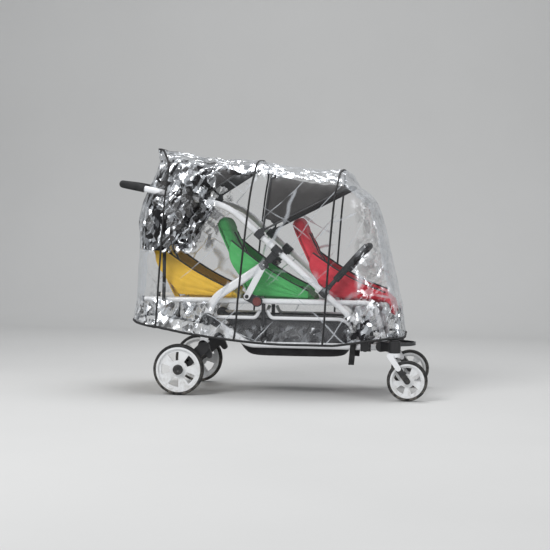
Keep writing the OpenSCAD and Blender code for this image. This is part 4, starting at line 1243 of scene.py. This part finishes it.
def hood_points(clamp, start, end, y_start, y_end, sag, ripple):
    points = []
    for i in range(HOOD_RIBS + 1):
        t = i / HOOD_RIBS
        chord = lerp(polar(start), polar(end), t)
        reach = chord.length - sag * math.sin(math.pi * t)
        way = chord.normalized()
        for k in range(HOOD_ACROSS + 1):
            s = 2 * k / HOOD_ACROSS - 1
            out, y = rib_point(reach, lerp(y_start, y_end, t), s)
            out += ripple * math.sin(math.pi * t) * noise.noise(Vector((t * 9, s * 3.1, reach * 0.01)))
            points.append(clamp + Vector((way.x * out, y, way.y * out)) * MM)
    return points


def make_hood(name, clamp, start, end, y_start, y_end, sag, ripple):
    points = hood_points(clamp, start, end, y_start, y_end, sag, ripple)
    cloth = add_mesh(name, points, grid_faces(HOOD_RIBS + 1, HOOD_ACROSS + 1), hood_cloth)
    thicken(cloth, HOOD_T, 0)
    cloth.modifiers.new("subdivision", "SUBSURF")
    settle(cloth)
    wide = HOOD_ACROSS + 1
    ends = [points[:wide], points[-wide:]]
    sides = [points[0::wide], points[wide - 1::wide]]
    return cloth, ends, sides, points[wide // 2::wide]


def add_hood(name, joint, reach, sag):
    clamp = joint_at[joint]
    cloth, ends, sides, middle = make_hood(name + "_cloth", clamp, reach["front"], reach["back"], MOVING_Y,
                                           FIXED_Y, sag, HOOD_RIPPLE)
    hem = add_piping(name + "_binding", ends + sides, BINDING_R, webbing)
    for piece in (cloth, hem):
        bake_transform(piece)
    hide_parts(name)
    flat, area = cut_size(cloth, max(ends, key=path_length), middle)
    return cloth


add_hood("front_hood", "front_hood_fold", FRONT_HOOD, 10)
add_hood("rear_hood", "rear_hood_fold", REAR_HOOD, 6)

# %% [markdown]
# ## Basket
#
# The basket is a bag of netting with a solid black floor that sags below the lower rails, hung
# from the rim tubes by a bound top edge. It is lofted from rounded loops, each a level of the bag.

# %% Basket
BASKET_ROUND = 72
BASKET_STEPS = 5
BASKET_Y = 176
BASKET_SQUARE = 0.45
NET_T = 0.0012
RIM_BINDING_R = 0.0042
BASKET_LEVELS = [(172, 762, BASKET_Y, 345, 345), (212, 760, BASKET_Y - 5, 292, 300),
                 (246, 756, BASKET_Y - 6, 236, 240), (272, 748, BASKET_Y - 8, 200, 202),
                 (306, 726, BASKET_Y - 26, 177, 179), (380, 660, BASKET_Y - 90, 173, 174),
                 (500, 560, 20, 172, 172)]


def basket_loop(level):
    x0, x1, y, z0, z1 = level
    loop = []
    for k in range(BASKET_ROUND):
        a = 2 * math.pi * (k + 0.5) / BASKET_ROUND
        h = (1 + power(math.cos(a), BASKET_SQUARE)) / 2
        crumple = 1 - 0.012 * noise.noise(Vector((math.cos(a) * 4, math.sin(a) * 4, z0 * 0.03)))
        loop.append(at(lerp(x0, x1, h), y * power(math.sin(a), BASKET_SQUARE) * crumple, lerp(z0, z1, h)))
    return loop


def blend_levels(levels, steps):
    """Rows between the given levels, on a smooth curve through them."""
    table = np.array(levels, float)
    rows = []
    for i in range(len(table) - 1):
        before, a, b, after = (table[min(max(i + k, 0), len(table) - 1)] for k in (-1, 0, 1, 2))
        for j in range(steps):
            t = j / steps
            rows.append(0.5 * (2 * a + (b - before) * t + (2 * before - 5 * a + 4 * b - after) * t ** 2
                               + (3 * a - before - 3 * b + after) * t ** 3))
    rows.append(table[-1])
    return rows


def make_basket():
    rows = blend_levels(BASKET_LEVELS, BASKET_STEPS)
    loops = [basket_loop(row) for row in rows]
    points = [p for loop in loops for p in loop]
    faces = grid_faces(len(loops), BASKET_ROUND, True)
    faces.append(tuple(range(len(points) - BASKET_ROUND, len(points))))
    net = add_mesh("basket_bag", points, faces, net_cloth)
    net.data.materials.append(basket_cloth)
    floor_from = 2 * BASKET_STEPS
    for face in net.data.polygons:
        face.material_index = 1 if min(face.vertices) >= floor_from * BASKET_ROUND else 0
    thicken(net, NET_T)
    settle(net)
    rims = [loops[0] + loops[0][:1], loops[floor_from] + loops[floor_from][:1]]
    binding = add_piping("basket_binding", rims, RIM_BINDING_R, webbing)
    for piece in (net, binding):
        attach(piece, "chassis")
    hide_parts("basket")
    quarter = BASKET_ROUND // 4
    walls = [[loop[k * quarter] for loop in loops] for k in range(4)]
    flat, area = cut_size(net, walls[1] + walls[3][::-1], walls[0] + walls[2][::-1])
    return net


make_basket()

# %% [markdown]
# ## Rain cover
#
# The cover is film sewn from panels, with black piping in its seams and along its hem. Its shape is a
# stack of rounded loops from hem to ridge. The columns of the grid are laid so that three of them run
# along the seams, and the film is then slackened between the seams and crinkled.

# %% Rain cover sizes
COVER_STEPS = 13
HEM_Y = 302
COVER_LEVELS = [(-232, 1004, HEM_Y, 300, 300, 0.36), (-222, 984, HEM_Y - 10, 450, 400, 0.36),
                (-214, 940, HEM_Y - 20, 620, 600, 0.38), (-218, 906, HEM_Y - 28, 780, 760, 0.40),
                (-172, 858, HEM_Y - 34, 930, 880, 0.42), (-128, 785, HEM_Y - 52, 1036, 948, 0.44),
                (-142, 752, HEM_Y - 122, 1090, 1002, 0.5), (-150, 728, 60, 1110, 1018, 0.6),
                (-154, 722, 0.5, 1113, 1020, 0.7)]
SEAMS = {"rear": (-107, -62, -164), "middle": (251, 331, 340), "front": (646, 700, 716)}
END_COLUMNS = 26
SPAN_COLUMNS = (7, 42, 42, 12)
ROOF_LEVEL = 5
ROOF_LEVELS = 3
END_SHARES = (0.065, 0.07)
WALL_SLACK = 0.035
ROOF_SAG = 14
TIGHT_FROM_X = 690
TIGHT_SHARE = 0.3
HEM_LOW = 240
HEM_REAR = (88, 480, 712, 1.6)
HEM_FRONT = (33, 700, 225)


def hem_z(x):
    """The hem's height: level along the middle, higher behind, and lifted over the castors in front."""
    rear_lift, rear_from, rear_long, curve = HEM_REAR
    front_lift, front_from, front_long = HEM_FRONT
    rear = rear_lift * max(0, (rear_from - x) / rear_long) ** curve
    front = front_lift * min(1, max(0, (x - front_from) / front_long))
    return HEM_LOW + rear + front


print(f"the hem is {hem_z(COVER_LEVELS[0][0]):.0f} mm up behind and {hem_z(COVER_LEVELS[0][1]):.0f} in front")

# %% [markdown]
# Seen from above, a loop is a rounded box, which a superellipse gives. Its ends turn sharply, so their points
# are spaced evenly along the curve, and its sides are cut at the seams.

# %% One loop of the cover


def evenly(line, count):
    """Points at even steps along a line of number pairs."""
    line = np.array(line)
    walk = np.concatenate([[0], np.cumsum(np.linalg.norm(np.diff(line, axis=0), axis=1))])
    marks = np.linspace(0, walk[-1], count)
    return list(zip(np.interp(marks, walk, line[:, 0]), np.interp(marks, walk, line[:, 1])))


def loop_y(level, x):
    """Half-width of a loop at x."""
    x0, x1, y, _, _, p = level
    c = min(1, abs(2 * (x - x0) / (x1 - x0) - 1))
    return y * (1 - c ** (2 / p)) ** (p / 2)


def end_curve(level, x_from, rear):
    """Evenly spaced points round a loop's end, from the middle line out to x_from."""
    tip = level[0] if rear else level[1]
    xs = tip + (x_from - tip) * np.linspace(0, 1, 160) ** 3
    return evenly([(x, loop_y(level, x)) for x in xs], END_COLUMNS)


def cover_row(level, rise):
    """One side of a loop, from its rear middle to its front middle, and the columns of the seams."""
    x0, x1 = level[:2]
    length = x1 - x0
    roof = max(0, (rise - ROOF_LEVEL) / ROOF_LEVELS)
    taper = 1 - roof
    rear_end = x0 + END_SHARES[0] * taper * length
    front_end = x1 - END_SHARES[1] * taper * length
    seam_x = []
    for low_x, high_x, top_x in SEAMS.values():
        seam_x.append(lerp(low_x, high_x, min(1, rise / ROOF_LEVEL)) + roof * (top_x - high_x))
    seam_x[0] = max(seam_x[0], rear_end + 0.5)
    seam_x[2] = min(seam_x[2], front_end - 0.5)
    row = end_curve(level, rear_end, True)
    stops = [rear_end, *seam_x, front_end]
    columns = []
    for a, b, count in zip(stops, stops[1:], SPAN_COLUMNS):
        row += [(x, loop_y(level, x)) for x in np.linspace(a, b, count + 1)[1:]]
        columns.append(len(row) - 1)
    row += end_curve(level, front_end, False)[::-1][1:]
    return row, columns[:3]


# %% [markdown]
# A tailored cover is tight on its seams and hangs a little between them. So the share of slack is worked
# out for each column, and the walls are drawn in and the roof let down by it.

# %% Rows of the cover


def slack_share(column, seams, wide):
    """How far a column is from the seams beside it: 0 on a seam and 1 midway between two."""
    stops = [0, *seams, wide - 1]
    for a, b in zip(stops, stops[1:]):
        if a <= column <= b:
            return math.sin(math.pi * (column - a) / max(1, b - a))
    return 0.0


def make_cover_points():
    """The cover as rows of points round it, from hem to ridge, and the seam columns on the right side."""
    levels = blend_levels(COVER_LEVELS, COVER_STEPS)
    rows = []
    for i, level in enumerate(levels):
        rise = i / COVER_STEPS
        half, seams = cover_row(level, rise)
        x0, x1, _, z0, z1, _ = level
        side = []
        for c, (x, y) in enumerate(half):
            z = lerp(z0, z1, (x - x0) / (x1 - x0))
            if rise < 1:
                z = lerp(hem_z(x), z, rise)
            pull = slack_share(c, seams, len(half))
            wall = math.sin(math.pi * min(1, rise / ROOF_LEVEL))
            y *= 1 - WALL_SLACK * pull * wall
            tight = 1 if x < TIGHT_FROM_X else TIGHT_SHARE
            z -= ROOF_SAG * pull * max(0, min(1, rise - ROOF_LEVEL)) * tight
            side.append((x, y, z))
        loop = [(x, -y, z) for x, y, z in side] + [(x, y, z) for x, y, z in side[-2:0:-1]]
        rows.append(loop)
    return np.array(rows), seams, len(half)


cover_rows, seam_columns, half_wide = make_cover_points()
print(f"cover grid {cover_rows.shape[0]} by {cover_rows.shape[1]}")

# %% [markdown]
# A crease is a sharp ridge. A ridged noise, one minus the size of a plain noise, has such ridges. It
# is stretched along slanted lines, as film hangs, and is strongest at the rear, where the cover is
# bunched over the hood, and along the hem.

# %% Crinkled film
CRINKLE = 0.014
CRINKLE_OUT = 0.004
SEAM_CRINKLE = 0.25
HEM_CRINKLE = 0.5
RIDGE_X = (-85, 385, 750, 1000)
RIDGE_Z = (1105, 1074, 1010, 700)


def ridges(p, scale, seed):
    """A ridged noise of a point in metres, from 0 to 1, high on the creases."""
    q = Vector((p[0] * scale, p[1] * scale, p[2] * scale * 0.55)) + Vector((seed, seed * 0.3, 0))
    q += 0.35 * Vector((noise.noise(q * 0.7), noise.noise(q * 0.7 + Vector((9, 0, 0))), 0))
    return 1 - min(1, 2.2 * abs(noise.noise(q)))


def band(value, low, high, soft):
    """One from low to high, fading to nothing over soft millimetres outside."""
    return max(0.0, min(1.0, (value - low) / soft + 1, (high - value) / soft + 1))


def slackness(x, z):
    """How slack the film is at a place on the side, from 0 where it is drawn tight."""
    ridge = np.interp(x, RIDGE_X, RIDGE_Z)
    curtain = np.interp(z, (655, 850), (45, 145))
    zones = [
        1.00 * band(x, -400, curtain, 25) * band(z, 655, 1300, 40),
        0.40 * band(x, -400, -60, 40) * band(z, 430, 655, 40),
        1.00 * band(x, -400, 130, 40) * band(z, 0, 420, 20),
        0.65 * band(x, 130, 640, 60) * band(z, 0, 315, 25),
        0.95 * band(x, 770, 1200, 60) * band(z, 0, 400, 60),
        0.60 * band(x, 800, 1200, 60) * band(z, 400, 900, 60),
        0.85 * band(x, -400, 420, 60) * band(z, ridge - 80, 1300, 30),
        0.75 * band(x, 420, 1200, 60) * band(z, ridge - 65, 1300, 30),
    ]
    return max(0.08, *zones)


def make_cover():
    rows, wide = cover_rows.shape[:2]
    faces = [f[::-1] for f in grid_faces(rows, wide, True)]
    film = add_mesh("rain_cover_film", [at(*p) for p in cover_rows.reshape(-1, 3)], faces, clear_film)
    points = points_of(film)
    way = normals_of(film)
    flat = cover_rows.reshape(-1, 3)
    slack = np.array([slackness(x, z) for x, _, z in flat])
    columns = np.tile(np.arange(wide), rows)
    sewn = np.isin(columns, [*seam_columns, *[wide - c for c in seam_columns]])
    rough = np.array([ridges(p, 8, 0) * 0.65 + ridges(p, 19, 5) * 0.35 for p in points])
    depth = CRINKLE * slack * (rough - 0.5) * np.where(sewn, SEAM_CRINKLE, 1)
    depth[:wide] *= HEM_CRINKLE
    set_points(film, points + way * np.minimum(depth, CRINKLE_OUT)[:, None])
    mark = film.data.attributes.new("slack", "FLOAT", "POINT")
    mark.data.foreach_set("value", slack.astype(np.float32))
    return film


film = make_cover()
film_points = points_of(film).reshape(cover_rows.shape)
wide = cover_rows.shape[1]
print(f"{film.name}: {len(film.data.polygons)} faces")

# %% [markdown]
# The piping is a cord sewn into each seam, so it runs along the seam's column of points. When the frame
# folds, the cover's roof goes down with the push bar and its hem stays with the chassis.

# %% Piping and hem
PIPING_R = 0.0046
HEM_R = 0.0056
RIDGE_MERGE = 0.0012


def seam_line(column):
    """A seam from its hem on the right, over the ridge, to its hem on the left."""
    right = [Vector(p) for p in film_points[:, column]]
    left = [Vector(p) for p in film_points[:, wide - column]]
    return right + left[::-1][1:]


hem = [Vector(p) for p in film_points[0]]
cover_piping = add_piping("rain_cover_piping", [seam_line(c) for c in seam_columns], PIPING_R)
cover_hem = add_piping("rain_cover_hem", [hem + hem[:1]], HEM_R)
weld = film.modifiers.new("weld", "WELD")
weld.merge_threshold = RIDGE_MERGE
settle(film)
for piece in (film, cover_piping, cover_hem):
    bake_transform(piece)
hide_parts("rain_cover")
rear_to_front = [*film_points[:, 0], *film_points[-1, 1:half_wide], *film_points[::-1, half_wide - 1][1:]]
flat, area = cut_size(film, seam_line(seam_columns[1]), rear_to_front, 1)

# %% [markdown]
# ## Rear curtain
#
# Behind the rear hood the cloth runs on as a curtain. It hangs round the back of the stroller just under
# the film, outside the push bar, and its two sides end in a slanted edge that runs up to the clamp.
# Each rib starts at the clamp and follows the inside of the film.

# %% Rear curtain
CURTAIN_GAP = 9
CURTAIN_LOW = 648
CURTAIN_FAN = (138, 219)
FLAP_FAN = (217, 237)
BOW_TURN = (138, 165)
BOW_REACH = (222, 267)
FREE_REACH = 420
CURTAIN_RIBS = 46
BOW_RIB = 10
FLAP_RIBS = 14
CURTAIN_ACROSS = 44
FLAP_LONG = 24
CURTAIN_CREASE = 0.012
CURTAIN_T = 0.0015
REAR_CLAMP = joint_at["rear_hood_fold"]
cover_levels = np.array(blend_levels(COVER_LEVELS, COVER_STEPS))


def room_inside(x, z):
    """Half the room inside the film at a place in the side view."""
    spots = []
    for x0, x1, y, z0, z1, p in cover_levels[COVER_STEPS:]:
        h = (x - x0) / (x1 - x0)
        inner = (x0 + CURTAIN_GAP, x1 - CURTAIN_GAP, max(1, y - CURTAIN_GAP), z0, z1, p)
        spots.append((lerp(z0, z1, h), loop_y(inner, x) if x0 + CURTAIN_GAP < x else 0.0))
    spots = np.array(spots)
    return float(np.interp(z, spots[:, 0], spots[:, 1]))


def curtain_rib(angle, count):
    """Points from the clamp out along a ray in the side view, [distance, half-width], evenly spaced."""
    way = (math.cos(math.radians(angle)), math.sin(math.radians(angle)))
    reach = FREE_REACH
    if angle < BOW_TURN[1]:
        reach = lerp(*BOW_REACH, (angle - BOW_TURN[0]) / (BOW_TURN[1] - BOW_TURN[0]))
    rib = []
    wraps = True
    for out in np.linspace(HOOD_FROM, reach, 240):
        x = (REAR_CLAMP.x - AXLE_X) / MM + out * way[0]
        z = REAR_CLAMP.z / MM + out * way[1]
        turn = max(0, (out - reach + BOW_CORNER) / BOW_CORNER)
        y = room_inside(x, z) - BOW_CORNER * (1 - math.sqrt(max(0, 1 - turn ** 2)))
        if z < CURTAIN_LOW:
            wraps = False
            break
        if y <= 0:
            break
        rib.append((out, y))
    if wraps:
        rib.append((rib[-1][0], 0.0))
    return [(out * way[0], y, out * way[1]) for out, y in evenly(rib, count)]


print(f"the curtain's clamp is {REAR_CLAMP.z / MM:.0f} mm up")

# %% [markdown]
# The ribs that reach the film's rear make one grid from side to side. Below them the cloth ends in a flap on
# each side, a small grid of its own. Creases are pushed inwards only, so the cloth stays inside the film.

# %% Curtain cloth


def make_curtain():
    points = []
    faces = []
    wide = 2 * CURTAIN_ACROSS - 1
    for angle in np.linspace(*CURTAIN_FAN, CURTAIN_RIBS):
        rib = curtain_rib(angle, CURTAIN_ACROSS)
        whole = [(x, -y, z) for x, y, z in rib] + [(x, y, z) for x, y, z in rib[-2::-1]]
        points += [REAR_CLAMP + Vector(p) * MM for p in whole]
    faces += grid_faces(CURTAIN_RIBS, wide)
    edges = [points[:wide], points[BOW_RIB * wide:(BOW_RIB + 1) * wide]]
    for side in SIDES:
        first = len(points)
        for angle in np.linspace(*FLAP_FAN, FLAP_RIBS):
            rib = curtain_rib(angle, FLAP_LONG)
            points += [REAR_CLAMP + Vector((x, side * y, z)) * MM for x, y, z in rib]
        flap = [tuple(first + i for i in f) for f in grid_faces(FLAP_RIBS, FLAP_LONG)]
        faces += flap if side < 0 else [f[::-1] for f in flap]
        edges.append(points[first + FLAP_LONG - 1::FLAP_LONG] + points[-2:-FLAP_LONG:-1])
    curtain = add_mesh("rear_curtain_cloth", points, faces, hood_cloth)
    place = points_of(curtain)
    creased = np.array([ridges(p, 11, 2) for p in place])
    outward = place - np.array([*REAR_CLAMP])
    outward[:, 1] = place[:, 1]
    outward /= np.linalg.norm(outward, axis=1, keepdims=True)
    set_points(curtain, place - outward * (creased * CURTAIN_CREASE)[:, None])
    thicken(curtain, CURTAIN_T)
    settle(curtain)
    binding = add_piping("rear_curtain_binding", edges, BINDING_R, webbing)
    for piece in (curtain, binding):
        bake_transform(piece)
    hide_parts("rear_hood")
    grid = points[:CURTAIN_RIBS * wide]
    ribs = [grid[i * wide:(i + 1) * wide] for i in range(CURTAIN_RIBS)]
    flat, area = cut_size(curtain, max(ribs, key=path_length), grid[CURTAIN_ACROSS - 1::wide])
    return curtain


make_curtain()

# %% [markdown]
# ## Ties
#
# Flat webbing ties the cover and the curtain to the frame. On each side one tie goes up from the rear of the
# seat rail to the curtain, and one hangs over the lower rail in front of the basket. Each is a ribbon too.

# %% Ties
REAR_TIE = [(-84, 203, 416), (-82, 203, 500), (-76, 236, 660)]
LOW_TIE = [(782, 203, 292), (778, 203, 240), (774, 203, 196), (770, 203, 148)]
REAR_TIE_HALF = 8
LOW_TIE_HALF = 13


def tie(name, corners, half, side):
    """A webbing tie through corner points, flat against the stroller's side."""
    line = spread_line(corners, 6 * (len(corners) - 1) + 1)
    shift = Vector((half * MM, 0, 0))
    return ribbon(name, [p - shift for p in line], [p + shift for p in line], STRAP_T, (0, side, 0), webbing)


for side in SIDES:
    rear_line = [at(x, side * y, z) for x, y, z in REAR_TIE]
    rear_tie = tie(f"rear_tie_{SIDE_NAMES[side]}", rear_line, REAR_TIE_HALF, side)
    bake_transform(rear_tie)
    low_line = [at(x, side * y, z) for x, y, z in LOW_TIE]
    low_tie = tie(f"low_tie_{SIDE_NAMES[side]}", low_line, LOW_TIE_HALF, side)
    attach(low_tie, "chassis")
    print(f"{SIDE_NAMES[side]} ties {path_length(rear_line):.2f} and {path_length(low_line):.2f} m long")

# %% [markdown]
# ## Rivets
#
# The brackets are held by rivets with bright domed heads, which catch the light. Each rivet is a place
# and the way that it faces, and one Geometry Nodes tree sets a head there.

# %% Rivets


def facing_side(spots, y):
    """Spots in the side view, on both sides of the stroller, facing outwards."""
    return [(at(x, side * y, z), (0, side, 0)) for x, z in spots for side in SIDES]


ARM_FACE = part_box("push_arms")[1].y / MM
BRACKET_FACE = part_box("leg_brackets")[1].y / MM
STRUT_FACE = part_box("lock_struts")[1].y / MM
RAIL_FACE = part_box("lower_rails")[1].y / MM
CAP_THICK = 3.5
DOME = 0.45
LEG_PIN = (375.4, 588.2)
LEG_TURN = math.radians(34)
for body, name, spots, y, radius in (
        ("push_bar", "arm", [(-98, 909), (-72, 904)], ARM_FACE, 3.2),
        ("push_bar", "bracket", [(446, 640)], BRACKET_FACE, 5),
        ("rear_legs", "pin", [LEG_PIN], STRUT_FACE + CAP_THICK, 5),
        ("chassis", "rail", [(148, 325), (180, 305)], RAIL_FACE, 3.2)):
    rivets = add_rivets(f"{name}_rivets", facing_side(spots, y), radius * MM, radius * DOME * MM)
    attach(rivets, body)
    print(f"{2 * len(spots)} {name} rivets")

# %% [markdown]
# ## Caps
#
# A moulded cap covers the top of each leg, where the leg and its strut turn on one pin. It is a flat plate
# with round corners, so it is one outline, repeated as three rings of points that are joined into a grid.

# %% Caps on the legs
CAP_HALF = (19, 16)
CAP_CORNER = 5
CORNER_POINTS = 6
CAP_RINGS = ((1, -6), (1, CAP_THICK - 1), (0.94, CAP_THICK))


def make_leg_cap(side):
    """A flat moulded cap with round corners over the top of a leg and its strut."""
    outline = []
    for quarter, (sx, sz) in enumerate(((1, 1), (-1, 1), (-1, -1), (1, -1))):
        for k in range(CORNER_POINTS):
            a = math.pi / 2 * (quarter + k / (CORNER_POINTS - 1))
            outline.append((sx * (CAP_HALF[0] - CAP_CORNER) + CAP_CORNER * math.cos(a),
                            sz * (CAP_HALF[1] - CAP_CORNER) + CAP_CORNER * math.sin(a)))
    points = []
    for size, rise in CAP_RINGS:
        for u, v in outline:
            x = LEG_PIN[0] + size * (u * math.cos(LEG_TURN) - v * math.sin(LEG_TURN))
            z = LEG_PIN[1] + size * (u * math.sin(LEG_TURN) + v * math.cos(LEG_TURN))
            points.append(at(x, side * (STRUT_FACE + rise), z))
    wide = len(outline)
    faces = grid_faces(len(CAP_RINGS), wide, True)
    faces += [tuple(range(2 * wide, 3 * wide)), tuple(range(wide))[::-1]]
    faces = faces if side < 0 else [f[::-1] for f in faces]
    cap = add_mesh(f"leg_cap_{SIDE_NAMES[side]}", points, faces, black_moulding)
    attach(cap, "rear_legs")


for side in SIDES:
    make_leg_cap(side)
print(f"leg caps {2 * CAP_HALF[0]} by {2 * CAP_HALF[1]} mm")

# %% [markdown]
# Another cap covers the hub of each rear wheel. It is turned, so it is a profile carried round the wheel's
# axis, which the frame gives, and it sits on the outer face of the rim.

# %% Hub caps
CAP_R = 23
CAP_STEPS = 40
CAP_LINE = [(CAP_R, 0), (CAP_R, 5), (CAP_R - 1.5, 7.5), (CAP_R - 6, 9), (6, 9.4), (5, 8), (0.01, 8)]


def make_hub_cap(side):
    """A turned cap on a rear wheel's hub."""
    centre = joint_at[f"rear_spin_{SIDE_NAMES[side]}"]
    low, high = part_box(f"rear_rim_{SIDE_NAMES[side]}")
    face_y = low.y if side < 0 else high.y
    points = []
    for radius, rise in CAP_LINE:
        for k in range(CAP_STEPS):
            a = 2 * math.pi * k / CAP_STEPS
            points.append((centre.x + radius * math.cos(a) * MM, face_y + side * rise * MM,
                           centre.z + radius * math.sin(a) * MM))
    faces = grid_faces(len(CAP_LINE), CAP_STEPS, True)
    faces = faces if side < 0 else [f[::-1] for f in faces]
    cap = add_mesh(f"hub_cap_{SIDE_NAMES[side]}", points, faces, black_moulding)
    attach(cap, f"rear_wheel_{SIDE_NAMES[side]}")


for side in SIDES:
    make_hub_cap(side)
print(f"hub caps {2 * CAP_R} mm across")
